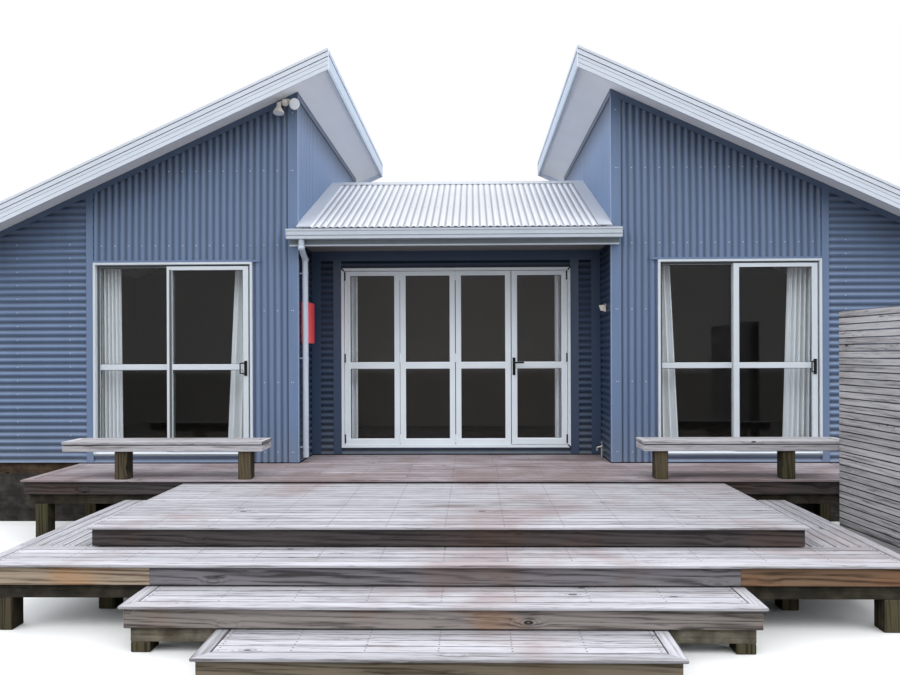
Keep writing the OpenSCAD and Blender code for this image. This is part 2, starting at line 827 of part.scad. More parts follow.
// Three leaves that fold together, joined by their hinges and hung on the left jamb
module folding_leaves() {
    color("white") on_house() {
        mirror([1, 0, 0]) leaf_knuckles();
        upright(recess_depth, recess_depth + leaf_t)
            for (i = [0 : 2])
                leaf_outline(door_gap - fold_in + i * leaf_pitch, leaf_z, leaf_w, leaf_h, fold_rim);
        for (i = [1, 2]) for (z = hinge_heights) {
            x = door_gap - fold_in + i * leaf_pitch - fold_gap / 2;
            translate([x, recess_depth, z - knuckle_h * 1.5]) cylinder(r = knuckle_r, h = 3 * knuckle_h);
        }
    }
}

module swing_leaf() {
    color("white") on_house() {
        upright(recess_depth, recess_depth + leaf_t)
            leaf_outline(swing_x, leaf_z + door_gap, leaf_w, leaf_h - door_gap, fold_rim);
        leaf_knuckles();
    }
}

module swing_glass() {
    color("lightblue", 0.5) on_house() glazed(recess_depth)
        leaf_panes(swing_x, leaf_z + door_gap, leaf_w, leaf_h - door_gap, fold_rim);
}

// A lever on a tall back plate
module swing_handle() {
    x = swing_x + fold_stile / 2;
    y = recess_depth;
    z = mid_h + 30;
    color("black") on_house() {
        block([x - 16, y - 8, z - 150], [x + 16, y, z + 60]);
        rod([x, y - 8, z], [x, y - 50, z], 20);
        translate([x, y - 50, z]) sphere(d = 20);
        rod([x, y - 50, z], [x + 110, y - 50, z], 20);
        translate([x + 110, y - 50, z]) sphere(d = 20);
    }
}

// A window frame with an upright bar in the middle
module window_frame() {
    z0 = head_h - window_h;
    ring(-window_w / 2, z0, window_w, window_h, frame_w);
    translate([-frame_w / 2, z0]) square([frame_w, window_h]);
}

module window_panes() {
    z0 = head_h - window_h + frame_w;
    for (x = [frame_w - window_w / 2, frame_w / 2])
        translate([x, z0]) square([(window_w - 3 * frame_w) / 2, window_h - 2 * frame_w]);
}

module rear_windows() {
    color("white") on_house() at_back() both_sides() window_spot()
        upright(-frame_proud, frame_d) window_frame();
}

module fixed_panes() glazed(inner_track) leaf_panes(fixed_x, sill_top, fixed_w, fixed_h, fixed_rim);

module fixed_glass() {
    pane_y = frame_d / 2;
    color("lightblue", 0.5) on_house() {
        at_left_slider() fixed_panes();
        at_right_slider() fixed_panes();
        glazed(recess_depth) for (i = [0 : 2])
            leaf_panes(door_gap - fold_in + i * leaf_pitch, leaf_z, leaf_w, leaf_h, fold_rim);
        at_back() both_sides() window_spot() upright(pane_y, pane_y + glass_t) window_panes();
    }
}

// Curtains gathered at the sides of the doors, and the tracks that they hang from
track_z = head_h + 85;
track_d = 100;
track_h = 30;
inner_w = 380;
outer_w = 500;
curtain_t = 70;

module curtain_tracks() {
    y = clad_t + wall_t;
    reach = 150;
    color("white") on_house() {
        both_sides() block([slider_x - reach, y, track_z],
            [slider_end + reach, y + track_d, track_z + track_h]);
        block([-fold_half - reach, link_wall + wall_t, track_z],
            [fold_half + reach, link_wall + wall_t + track_d, track_z + track_h]);
    }
}

module curtains() {
    y = clad_t + wall_t + 20;
    y_link = link_wall + wall_t + 20;
    low = floor_rise + 15;
    high = track_z - run_gap;
    color("azure") on_house() {
        both_sides() {
            block([slider_x - 130, y, low], [slider_x - 130 + inner_w, y + curtain_t, high]);
            block([slider_end + 140 - outer_w, y, low], [slider_end + 140, y + curtain_t, high]);
            block([fold_half - 170, y_link, low], [fold_half + 90, y_link + curtain_t, high]);
        }
    }
}

// Deck

module verandah_deck() {
    color("lightgray") on_house() {
        block([-verandah_half, -verandah_depth, -plank_t], [verandah_half, -plank_gap, 0]);
        block([-link_half, 0, -plank_t], [link_half, recess_depth - plank_gap, 0]);
    }
}

// Distance of the frames under the decks from the edges of the boards
set_back = nose + fascia_t;

// The main deck runs under the front of the verandah as far as its frame
module main_deck() {
    color("lightgray") on_ground() block([-main_half, -main_front, main_z - plank_t],
        [main_half, set_back - verandah_depth, main_z]);
}

// The lower deck wraps round three sides of the main deck
side_back = -verandah_depth - plank_gap;

module lower_deck() {
    inner = main_half - set_back;
    back = set_back - main_front;
    color("lightgray") on_ground() {
        block([-lower_half, -lower_front, lower_z - plank_t], [lower_half, back, lower_z]);
        both_sides() block([inner, back + plank_gap, lower_z - plank_t],
            [lower_half, side_back, lower_z]);
    }
}

module steps() {
    color("lightgray") on_ground() {
        block([-upper_half, -upper_front, upper_z - plank_t],
            [upper_half, set_back - lower_front, upper_z]);
        block([-bottom_half, -bottom_front, bottom_z - plank_t],
            [bottom_half, set_back - upper_front, bottom_z]);
    }
}

// Fascia boards round the front and the sides of a deck: the front is one board or, where
// a joint is given, three
module fascia_boards(half, front, back, top, joint = 0) {
    x = half - nose;
    y = nose - front;
    z1 = top - plank_t;
    z0 = z1 - fascia_h;
    middle = joint == 0 ? x : joint - run_gap;
    block([-middle, y, z0], [middle, y + fascia_t, z1]);
    both_sides() {
        if (joint > 0) block([joint, y, z0], [x, y + fascia_t, z1]);
        block([x - fascia_t, y + fascia_t + run_gap, z0], [x, back, z1]);
    }
}

module deck_fascias() {
    color("rosybrown") on_ground() {
        fascia_boards(main_half, main_front, -verandah_depth, main_z);
        fascia_boards(lower_half, lower_front, side_back, lower_z, upper_half - fascia_t);
        fascia_boards(upper_half, upper_front, -lower_front, upper_z);
        fascia_boards(bottom_half, bottom_front, -upper_front, bottom_z);
        both_sides() {
            block([main_half + plank_gap, nose - verandah_depth, verandah_z - plank_t - fascia_h],
                [verandah_half - nose, nose + fascia_t - verandah_depth, verandah_z - plank_t]);
            block([verandah_half - nose - fascia_t, set_back + run_gap - verandah_depth,
                verandah_z - plank_t - fascia_h], [verandah_half - nose, -plank_gap, verandah_z - plank_t]);
        }
    }
}

// Joists under the boards, on bearers that run along x
module deck_frame(x0, x1, y0, y1, top, bearers) {
    bays = ceil((x1 - x0 - beam_w) / joist_pitch);
    joist_top = top - plank_t;
    joist_low = joist_top - fascia_h;
    for (i = [0 : bays]) {
        x = x0 + i * (x1 - x0 - beam_w) / bays;
        block([x, y0, joist_low], [x + beam_w, y1, joist_top]);
    }
    for (i = [0 : bearers - 1]) {
        y = y0 + i * (y1 - y0 - beam_w) / (bearers - 1);
        block([x0, y, joist_low - beam_h], [x1, y + beam_w, joist_low - run_gap]);
    }
}

module deck_beams() {
    side_x = main_half - set_back;
    color("rosybrown") on_ground() {
        deck_frame(set_back - verandah_half, verandah_half - set_back, set_back - verandah_depth,
            clad_t - run_gap, verandah_z, 2);
        deck_frame(set_back - corner, corner - set_back, clad_t, link_wall, verandah_z, 2);
        deck_frame(-side_x, side_x, set_back - main_front, set_back - verandah_depth - run_gap,
            main_z, 3);
        deck_frame(set_back - lower_half, lower_half - set_back, set_back - lower_front,
            set_back - main_front - run_gap, lower_z, 2);
        both_sides() deck_frame(side_x + run_gap, lower_half - set_back, set_back - main_front,
            side_back, lower_z, 3);
        deck_frame(set_back - upper_half, upper_half - set_back, set_back - upper_front,
            set_back - lower_front - run_gap, upper_z, 2);
        for (y = [set_back - bottom_front, set_back - upper_front - beam_w - run_gap])
            block([set_back - bottom_half, y, 0],
                [bottom_half - set_back, y + beam_w, bottom_z - plank_t]);
    }
}

// A square post from the ground up to the bearers of a deck, given by its lowest corner
module deck_post(x, y, top) {
    height = top - plank_t - fascia_h - beam_h;
    translate([x, y, 0]) cube([post_w, post_w, height]);
}

bench_post_inset = 180;
bench_post_gap = 1210;
post_inset = 60;

module timber_posts() {
    seat_under = seat_h - seat_t;
    color("darkolivegreen") {
        on_ground() both_sides() {
            for (x = [set_back, verandah_half - set_back - post_inset - post_w]) {
                deck_post(x, set_back - verandah_depth, verandah_z);
                deck_post(x, clad_t - post_w, verandah_z);
            }
            for (y = [set_back - main_front, set_back - verandah_depth - post_w])
                deck_post(main_half - set_back - post_w, y, main_z);
            for (y = [set_back - lower_front, side_back - post_w])
                deck_post(lower_half - set_back - post_inset - post_w, y, lower_z);
            deck_post(upper_half - set_back - post_w, set_back - upper_front, upper_z);
        }
        on_house() both_sides() for (x = [bench_post_inset, bench_post_inset + bench_post_gap])
            block([bench_start + x - post_w / 2, seat_t - verandah_depth, 0],
                [bench_start + x + post_w / 2, seat_t - verandah_depth + post_w, seat_under]);
    }
}

// Bench seats: a flat top over edge boards on all four sides
module bench_seats() {
    y0 = -verandah_depth;
    y1 = y0 + seat_d;
    x1 = bench_start + bench_len;
    edge_low = seat_h - seat_edge;
    color("lightgray") on_house() both_sides() {
        block([bench_start, y0, seat_h - seat_t], [x1, y1, seat_h]);
        difference() {
            block([bench_start, y0, edge_low], [x1, y1, seat_h - seat_t]);
            block([bench_start + seat_t, y0 + seat_t, edge_low - 1],
                [x1 - seat_t, y1 - seat_t, seat_h - seat_t]);
        }
    }
}

// A screen of level slats on two posts, which turns away from the house's middle line
module slat_screen() {
    post = 90;
    pitch = slat_h + slat_gap;
    low = 60 - verandah_z;
    count = floor((screen_h - low) / pitch);
    color("darkgray") on_house() translate([verandah_half - screen_inset, -verandah_depth, 0]) {
        rotate([0, 0, screen_turn]) translate([0, -screen_len - 10, 0]) {
            for (i = [0 : count - 1]) translate([0, 0, screen_h - slat_h - i * pitch])
                cube([slat_t, screen_len, slat_h]);
            translate([slat_t, 0, -verandah_z]) cube([post, post, screen_h + verandah_z]);
        }
        block([slat_t - 2, -post, -verandah_z], [slat_t + post, 0, screen_h]);
    }
}

// Fittings

// A bell-shaped lamp that points along a tilt and a turn
module bell_lamp(tilt, turn) {
    rotate([0, tilt, turn]) rotate_extrude() polygon([[0, 0], [24, 0], [26, 45], [lamp_d / 2 - 8, 95],
        [lamp_d / 2, 105], [lamp_d / 2, 118], [0, 118]]);
}

module outdoor_lights() {
    flood = [-corner - 130, 0, pod_soffit(corner + 180) - 30];
    lamp_y = 350;
    lamp_z = 1735;
    color("white") on_house() {
        translate(flood) {
            block([-35, -flash_t - 25, -25], [35, -flash_t, 25]);
            rod([-20, -20, 0], [-55, -80, -42], 28);
            translate([-55, -80, -42]) bell_lamp(170, 270);
            rod([20, -20, 0], [62, -62, -20], 28);
            translate([62, -62, -20]) bell_lamp(117, -47);
            rod([0, -20, 0], [12, -70, -30], 36);
            translate([12, -78, -40]) sphere(d = 70);
        }
        translate([corner, lamp_y, lamp_z]) {
            block([-12, -50, -45], [0, 50, 45]);
            translate([-12, 0, -32]) intersection() {
                cylinder(r1 = 40, r2 = 62, h = 64);
                block([-80, -62, 0], [0, 62, 64]);
            }
        }
    }
}

// A standpipe tap with a tee handle
module garden_tap() {
    x = corner - 35;
    y = 400;
    color("lightgray") on_house() {
        rod([x, y, 0], [x, y, 130], 22);
        translate([x, y, 130]) sphere(d = 34);
        rod([x, y, 130], [x - 55, y, 118], 20);
        rod([x - 55, y, 122], [x - 55, y, 80], 22);
        rod([x, y, 130], [x, y, 185], 12);
        rod([x - 12, y - 30, 185], [x + 12, y + 30, 185], 12);
        rod([x, y, clad_gap + rib_pitch], [corner, y, clad_gap + rib_pitch], 14);
    }
}

// A shallow case with a rounded front, fixed to the wall of the recess
module red_wall_case() {
    low = 1335;
    start = 120;
    rounding = 30;
    color("crimson") on_house() translate([-corner, start, low]) linear_extrude(case_h) {
        square([case_d - rounding, case_l]);
        translate([case_d - rounding, rounding]) square([rounding, case_l - 2 * rounding]);
        for (y = [rounding, case_l - rounding])
            translate([case_d - rounding, y]) circle(r = rounding);
    }
}

foundation_walls();
floors();
front_wall_piers();
walls_over_doors();
inner_wall_piers();
side_walls();
rear_walls();
vertical_cladding();
horizontal_cladding();
wall_flashings();
roof_decks();
roof_sheets();
barge_boards();
eave_fascias();
gutters();
downpipes();
link_roof_flashings();
porch_soffits();
folding_frame();
folding_leaves();
slider_frames();
rear_windows();
fixed_glass();
swing_leaf();
swing_glass();
swing_handle();
left_sliding_panel();
left_sliding_glass();
left_panel_handle();
right_sliding_panel();
right_sliding_glass();
right_panel_handle();
curtain_tracks();
curtains();
verandah_deck();
main_deck();
lower_deck();
steps();
deck_fascias();
deck_beams();
timber_posts();
bench_seats();
slat_screen();
outdoor_lights();
garden_tap();
red_wall_case();
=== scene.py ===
# %% [markdown]
# # A small beach house in corrugated steel
# The house is two narrow pods whose roofs rise towards each other, with a low link set back
# between them. A stepped timber deck runs along the front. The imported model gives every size,
# so this lesson only dresses it: real corrugations, single boards, nails, seals and curtains.

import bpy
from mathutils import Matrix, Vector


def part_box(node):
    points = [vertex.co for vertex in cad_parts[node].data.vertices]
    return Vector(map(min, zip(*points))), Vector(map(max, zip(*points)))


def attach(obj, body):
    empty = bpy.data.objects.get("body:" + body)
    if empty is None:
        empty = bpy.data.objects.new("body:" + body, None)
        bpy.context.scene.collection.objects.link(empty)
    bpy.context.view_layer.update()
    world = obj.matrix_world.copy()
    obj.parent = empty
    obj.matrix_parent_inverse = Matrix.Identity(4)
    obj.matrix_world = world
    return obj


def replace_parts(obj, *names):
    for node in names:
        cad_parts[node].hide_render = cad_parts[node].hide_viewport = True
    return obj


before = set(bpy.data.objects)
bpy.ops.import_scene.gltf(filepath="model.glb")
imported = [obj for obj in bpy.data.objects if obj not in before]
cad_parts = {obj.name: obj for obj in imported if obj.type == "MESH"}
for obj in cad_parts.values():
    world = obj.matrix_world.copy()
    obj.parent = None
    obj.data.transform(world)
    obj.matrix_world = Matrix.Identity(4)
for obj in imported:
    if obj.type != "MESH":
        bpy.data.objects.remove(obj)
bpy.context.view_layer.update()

# %% [markdown]
# ## Bearings
# Every place could be typed in the model's own metres. Most are easier to give from the front
# of the pods and the top of the verandah, as a builder on the deck would measure them, so one
# small function turns such a place into the model's metres.

# %% Bearings and main sizes
import math
import random

import bmesh
import bpy
from mathutils import Matrix, Vector

X_AXIS = Vector((1, 0, 0))
Y_AXIS = Vector((0, 1, 0))
Z_AXIS = Vector((0, 0, 1))

clad_thick = 0.025
front_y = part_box("front_wall_piers")[0].y - clad_thick
deck_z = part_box("verandah_deck")[1].z
corner_x = 1.735
pod_depth = 3.900
recess_depth = 0.650


def at(x, y, z):
    """A point measured from the middle of the pod fronts and the top of the verandah."""
    return Vector((x, front_y + y, deck_z + z))


print("pod fronts at y", round(front_y, 4), "verandah at z", round(deck_z, 4))

# %% [markdown]
# ## Slopes
# The pods' soffits and the link's roof are the only slanting planes. Walls, screws and thin
# strips all have to stop under them. Cutting each piece with a plane would work, but a
# function that gives a plane's height at a place is shorter, and leaves clean meshes.

# %% The two roof slopes
high_wall = 4.135
porch_height = 2.450
link_edge = 0.160
link_overhang = 0.120
pod_slope = math.tan(math.radians(24.5))
link_slope = math.tan(math.radians(25.5))
ridge_y = pod_depth / 2
ridge_height = porch_height + link_edge + link_slope * (ridge_y + link_overhang)


def pod_soffit(x):
    """Height of a pod's soffit above the verandah."""
    return high_wall - pod_slope * (abs(x) - corner_x)


def link_top(y):
    """Height of the crests of the link roof above the verandah."""
    return ridge_height - link_slope * abs(y - ridge_y)


print("ridge", round(ridge_height, 3), "pod soffits from", round(pod_soffit(corner_x), 3))

# %% [markdown]
# ## Reading the solids
# A node can hold several loose solids, such as all the posts. Joining points that share a
# place, and then following the faces, gives the box of each one, so that a dressed piece can
# be made exactly where its plain solid is.


# %% Find the loose solids of a node
def solids(node):
    """The lowest and highest corner of each loose solid in a node, from left to right."""
    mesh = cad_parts[node].data
    keys = [tuple(round(value, 5) for value in vertex.co) for vertex in mesh.vertices]
    parent = {key: key for key in keys}

    def root(key):
        while parent[key] != key:
            parent[key] = parent[parent[key]]
            key = parent[key]
        return key

    for face in mesh.polygons:
        first = root(keys[face.vertices[0]])
        for index in face.vertices[1:]:
            parent[root(keys[index])] = first
    groups = {}
    for key in parent:
        groups.setdefault(root(key), []).append(key)
    boxes = []
    for points in groups.values():
        low = Vector([min(point[i] for point in points) for i in range(3)])
        high = Vector([max(point[i] for point in points) for i in range(3)])
        boxes.append((low, high))
    return sorted(boxes, key=lambda box: tuple(box[0]))


print("posts:", len(solids("timber_posts")), "panes:", len(solids("fixed_glass")))

# %% [markdown]
# ## Shapes
# Every made piece goes through one small class that collects points and faces. Modelling by hand
# or stacking modifiers would give the same forms, but here each board needs more than its form.
# So each point also keeps where it lies along and across its own board, the board's own tone, and
# how deep in a hollow of a sheet it lies. The finishes read all of these, and the sheet finishes
# darken the hollows as painted shade.


# %% The shape class
class Shape:
    """Points and faces of one piece, with the grain place, the tone, the share across its
    board and the share of its depth in a hollow of each point."""

    def __init__(self):
        self.points = []
        self.faces = []
        self.grain = []
        self.tone = []
        self.across = []
        self.hollow = []

    def add(self, points, faces, grain=None, tone=0.5, across=None, hollow=None):
        base = len(self.points)
        self.points.extend(points)
        self.faces.extend([base + index for index in face] for face in faces)
        self.grain.extend(grain or points)
        self.tone.extend([tone] * len(points))
        self.across.extend(across or [(0.5, 0.5, 0.5)] * len(points))
        self.hollow.extend(hollow or [0.0] * len(points))

    def rings(self, rows, loop=False, hollow=None):
        """Join rings of points, one after another. The two ends are capped, or joined if it
        loops."""
        count, last = len(rows[0]), len(rows) - 1
        faces = []
        for i in range(last + loop):
            here, there = count * i, count * ((i + 1) % len(rows))
            faces += [(here + k, here + (k + 1) % count, there + (k + 1) % count, there + k)
                      for k in range(count)]
        if not loop:
            faces += [range(count), range(count * last, count * last + count)]
        self.add([point for row in rows for point in row], faces, hollow=hollow)

    def mesh(self, name):
        """The mesh of the piece, with what each point keeps as named attributes."""
        mesh = bpy.data.meshes.new(name)
        mesh.from_pydata([tuple(point) for point in self.points], [], self.faces)
        for key, places in (("grain", self.grain), ("across", self.across)):
            kept = mesh.attributes.new(key, "FLOAT_VECTOR", "POINT")
            kept.data.foreach_set("vector", [value for place in places for value in place])
        for key, values in (("tone", self.tone), ("hollow", self.hollow)):
            mesh.attributes.new(key, "FLOAT", "POINT").data.foreach_set("value", values)
        return mesh

    def piece(self, name, finish, slot, body="house", bevel=0.0, sharp=30, smooth=True):
        """The finished piece: its edges eased by bevel, on its body. slot is not used."""
        mesh = self.mesh(name)
        work = bmesh.new()
        work.from_mesh(mesh)
        bmesh.ops.recalc_face_normals(work, faces=work.faces)
        if bevel:
            bmesh.ops.bevel(work, geom=work.edges[:], offset=bevel, segments=1, affect="EDGES")
        for face in work.faces:
            face.smooth = smooth
        work.to_mesh(mesh)
        work.free()
        if smooth:
            mesh.set_sharp_from_angle(angle=math.radians(sharp))
        mesh.materials.append(finish)
        made = bpy.data.objects.new(name, mesh)
        bpy.context.scene.collection.objects.link(made)
        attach(made, body)
        print(name, "points", len(mesh.vertices), "faces", len(mesh.polygons))
        return made


# %% [markdown]
# ## Boards
# A board is a box, but no two boards of a deck come from the same place in a log. So each one
# gets its own random shift of the grain and its own tone. Its ends can be cut as mitres,
# because the border boards of a deck meet at 45 degrees.

# %% One board
BOX_FACES = [(0, 1, 3, 2), (4, 6, 7, 5), (0, 4, 5, 1), (2, 3, 7, 6), (0, 2, 6, 4), (1, 5, 7, 3)]
chance = random.Random(7)


def board(shape, start, along, across, size, cut=(0, 0), near_edge=0.0):
    """One board from its first corner. size is length, width and thickness. A cut of 1 mitres
    that end, so that the far edge is shorter by the board's width. A near_edge of 0.5 keeps
    dirt off the edge that faces the steps."""
    length, width, thick = size
    normal = along.cross(across)
    shift = Vector((chance.uniform(0, 60), chance.uniform(0, 9), chance.uniform(0, 9)))
    points = []
    grain = []
    shares = []
    for end in (0, 1):
        for side in (0, 1):
            for face in (0, 1):
                reach = length - cut[1] * side * width if end else cut[0] * side * width
                place = start + along * reach + across * (side * width) + normal * (face * thick)
                points.append(place)
                grain.append(Vector((reach, side * width, face * thick)) + shift)
                shares.append((side or near_edge, face, end))
    shape.add(points, BOX_FACES, grain, chance.random(), shares)


def box_board(shape, low, high, long_axis, near_edge=0.0):
    """A board that fills a box, with its grain along one axis."""
    size = high - low
    order = [long_axis, (long_axis + 1) % 3, (long_axis + 2) % 3]
    axes = [X_AXIS, Y_AXIS, Z_AXIS]
    board(shape, low, axes[order[0]], axes[order[1]], [size[index] for index in order],
          near_edge=near_edge)


def span_board(shape, xs, ys, zs, long_axis, near_edge=0.0):
    """A board between two places each way."""
    low, high = (Vector([pick(pair) for pair in (xs, ys, zs)]) for pick in (min, max))
    box_board(shape, low, high, long_axis, near_edge)


print("boards ready")

# %% [markdown]
# ## Tools for finishes
# Each finish is a short chain: a place, one or two noises stretched to the right scale, a
# ramp of colours, and a little bump. It could be wired by hand in the Shader Editor. A few
# helpers do the same wiring, and keep each finish to some lines.


# %% Helpers for node trees
def linear(red, green, blue):
    """A colour as a screen shows it, 0 to 255, in the straight-line values that Blender uses."""
    shares = [value / 255 for value in (red, green, blue)]
    return [v / 12.92 if v <= 0.04045 else ((v + 0.055) / 1.055) ** 2.4 for v in shares]


class Wiring:
    """The node tree of a finish or of the sky."""

    def __init__(self, tree):
        self.tree = tree

    def node(self, kind, **settings):
        made = self.tree.nodes.new(kind)
        for key, value in settings.items():
            setattr(made, key, value)
        return made

    def wire(self, source, target):
        self.tree.links.new(source, target)

    def feed(self, source, socket):
        """Put a number or a colour on a socket, or wire another node's output to it."""
        if isinstance(source, (int, float)):
            socket.default_value = source
        elif isinstance(source, (list, tuple)):
            socket.default_value = (*source, 1)
        else:
            self.wire(source, socket)

    def maths(self, kind, first, second=0.0):
        made = self.node("ShaderNodeMath", operation=kind)
        self.feed(first, made.inputs[0])
        self.feed(second, made.inputs[1])
        return made.outputs[0]

    def parts(self, place):
        """The X, Y and Z of a place, each by its letter."""
        made = self.node("ShaderNodeSeparateXYZ")
        self.wire(place, made.inputs[0])
        return made.outputs

    def fade(self, value, start, end, low=0.0, high=1.0, ease="SMOOTHSTEP"):
        """A share that goes from low to high as a value goes from start to end."""
        made = self.node("ShaderNodeMapRange", interpolation_type=ease)
        for socket, number in zip(made.inputs[1:5], (start, end, low, high)):
            socket.default_value = number
        self.wire(value, made.inputs["Value"])
        return made.outputs[0]


print("wiring ready")

# %% [markdown]
# A finish adds what a surface needs: noises, ramps of colour and bump. Its places are the
# object's own, in metres, so that a pattern keeps its real size on every piece.


# %% The finish class
class Finish(Wiring):
    """A material with its tree and its main shader."""

    def __init__(self, name, colour, roughness, metallic=0.0):
        self.material = bpy.data.materials.new(name)
        self.material.use_nodes = True
        super().__init__(self.material.node_tree)
        self.shader = self.tree.nodes["Principled BSDF"]
        self.set("Base Color", (*colour, 1))
        self.set("Roughness", roughness)
        self.set("Metallic", metallic)

    def set(self, socket, value):
        self.shader.inputs[socket].default_value = value

    def place(self):
        return self.node("ShaderNodeTexCoord").outputs["Object"]

    def attribute(self, name, output="Vector"):
        return self.node("ShaderNodeAttribute", attribute_name=name).outputs[output]

    def stretch(self, place, scale):
        made = self.node("ShaderNodeMapping")
        made.inputs["Scale"].default_value = scale
        self.wire(place, made.inputs["Vector"])
        return made.outputs["Vector"]

    def noise(self, place, scale, detail=4.0, twist=0.0):
        made = self.node("ShaderNodeTexNoise")
        made.inputs["Scale"].default_value = scale
        made.inputs["Detail"].default_value = detail
        made.inputs["Distortion"].default_value = twist
        self.wire(place, made.inputs["Vector"])
        return made.outputs[0]

    def ramp(self, value, *stops):
        """Colours or plain shares at their positions, for a value from 0 to 1."""
        made = self.node("ShaderNodeValToRGB")
        points = made.color_ramp.elements
        while len(points) < len(stops):
            points.new(0.5)
        for point, (position, colour) in zip(points, stops):
            point.position = position
            point.color = (*(colour if hasattr(colour, "__len__") else [colour] * 3), 1)
        self.wire(value, made.inputs["Fac"])
        return made.outputs["Color"]

    def varied(self, value, colour, below, above):
        """The colour, darker by the share below and lighter by the share above."""
        return self.ramp(value, (0.3, [part * (1 - below) for part in colour]),
                         (0.7, [min(1, part * (1 + above)) for part in colour]))

    def mix(self, share, first, second, kind="MIX"):
        made = self.node("ShaderNodeMix", data_type="RGBA", blend_type=kind)
        for index, source in ((0, share), (6, first), (7, second)):
            self.feed(source, made.inputs[index])
        return made.outputs[2]

    def darken(self, colours, shares):
        return self.mix(1.0, colours, shares, "MULTIPLY")

    def colour(self, source):
        self.wire(source, self.shader.inputs["Base Color"])

    def bump(self, height, distance, strength=1.0):
        made = self.node("ShaderNodeBump")
        made.inputs["Strength"].default_value = strength
        made.inputs["Distance"].default_value = distance
        self.wire(height, made.inputs["Height"])
        self.wire(made.outputs["Normal"], self.shader.inputs["Normal"])


print("finish tools ready")

# %% [markdown]
# ## Painted shade under the eaves and the porch
# The last stretch of wall under a soffit, and the recess, lie in shade. Dark paint there would be
# one flat band. A share that depends on the height below the soffit darkens the sheet smoothly,
# and it follows the slope of the eave. This darkening is painted shade.


# %% Painted shade under the eaves, under the porch and in the recess
def shade_below(made, level, top):
    """A share that falls smoothly to a half on the last stretch below a soffit: painted shade."""
    return made.fade(level, top - 0.43, top, 1.0, 0.50)


def under_eave(made, place):
    """Painted shade from the pods' sloping soffits down."""
    out = made.maths("MULTIPLY", made.maths("ABSOLUTE", place["X"]), pod_slope)
    return shade_below(made, made.maths("ADD", out, place["Z"]), deck_z + pod_soffit(0) - 0.02)


def under_porch(made, place):
    """Painted shade that deepens up to the porch soffit."""
    return shade_below(made, place["Z"], deck_z + porch_height)


def shade_in_recess(made, colours, share):
    """Painted shade on the flashings in the recess, deeper behind the front."""
    place = made.parts(made.place())
    deep = made.fade(place["Y"], front_y + 0.02, front_y + 0.12, ease="LINEAR")
    below = made.maths("LESS_THAN", place["Z"], deck_z + porch_height + 0.02)
    inside = made.maths("MULTIPLY", made.maths("MULTIPLY", deep, below), share)
    # A dark blue mixed in: painted shade in the recess.
    return made.mix(inside, colours, linear(40, 58, 84))


print("dirt ready")

# %% [markdown]
# ## Painted and bare steel
# The walls are factory-painted sheet: one blue-grey that rain has streaked a little and that
# splashes have dulled near the deck. The link roof is bare coated steel, bright and slightly
# mottled. The barges and soffits are a pale blue-grey. One function each for painted and for
# bare steel serves them all, because they differ only in colour, gloss and streaks.


# %% Painted sheet
def painted_sheet(name, colour, roughness, streak=(5.0, 5.0, 0.35), spread=0.10,
                  painted_shade_rule=None, recess_shade=0.0):
    """Painted sheet with rain streaks and dust low down, painted shade in the hollows of its
    ribs, painted shade under a soffit from the rule it is given, and painted shade in the recess
    as strong as the share it is given.
    """
    colour = linear(*colour)
    made = Finish(name, colour, roughness)
    place = made.place()
    streaks = made.noise(made.stretch(place, streak), 2.0, 5.0)
    clouds = made.noise(place, 0.7, 3.0)
    shade = made.maths("ADD", made.maths("MULTIPLY", streaks, 0.6),
                       made.maths("MULTIPLY", clouds, 0.4))
    tones = made.varied(shade, colour, spread, spread)
    height = made.parts(place)
    low = made.fade(height["Z"], deck_z + 0.55, deck_z, ease="LINEAR")
    dust = made.maths("MULTIPLY", low, made.noise(place, 9.0, 6.0))
    dusty = made.mix(made.maths("MULTIPLY", dust, 0.35), tones, linear(150, 148, 142))
    # The hollows of the ribs are darkened: painted shade in the valleys.
    hollow_shade = made.ramp(made.attribute("hollow", "Fac"), (0.35, 1.0), (1.0, 0.50))
    colours = made.darken(dusty, hollow_shade)
    if painted_shade_rule:
        # Painted shade under a soffit, from the rule that is given.
        colours = made.darken(colours, painted_shade_rule(made, height))
    if recess_shade:
        # Painted shade in the recess.
        colours = shade_in_recess(made, colours, recess_shade)
    made.colour(colours)
    made.bump(made.noise(place, 160.0, 3.0), 0.0006, 0.25)
    return made.material


# %% [markdown]
# Bare coated steel has no streaks of dust. It has a fine mottle that catches the light, and
# broad patches where the weather has dulled it.


# %% Bare sheet
def bare_sheet(name, colour, roughness, metallic):
    """Coated steel without paint, with its fine mottle and painted shade in the hollows of its
    ribs.
    """
    colour = linear(*colour)
    made = Finish(name, colour, roughness, metallic)
    place = made.place()
    mottle = made.noise(place, 45.0, 4.0)
    weather = made.noise(made.stretch(place, (3.0, 0.5, 1.0)), 1.5, 4.0)
    both = made.maths("ADD", made.maths("MULTIPLY", mottle, 0.4),
                      made.maths("MULTIPLY", weather, 0.6))
    # The hollows of the ribs are darkened: painted shade in the valleys.
    hollow_shade = made.ramp(made.attribute("hollow", "Fac"), (0.62, 1.0), (1.0, 0.45))
    made.colour(made.darken(made.varied(both, colour, 0.1, 0.0), hollow_shade))
    made.bump(mottle, 0.0004, 0.3)
    return made.material


# %% [markdown]
# The colours are as the eye reads them on a dull day. The recess gets a darker blue, a painted
# shade for the daylight that its soffit keeps off it.

# %% The steel finishes
wall_blue = (106, 127, 160)
along_board = (0.8, 0.8, 9.0)
# The blue sheets and flashings get painted shade under the eaves.
blue_steel = painted_sheet("blue steel", wall_blue, 0.36, painted_shade_rule=under_eave)
# The recess sheet is a darker copy of the wall blue: painted shade.
shaded_recess_steel = painted_sheet("shaded recess blue steel", (50, 70, 98), 0.5, painted_shade_rule=under_porch)
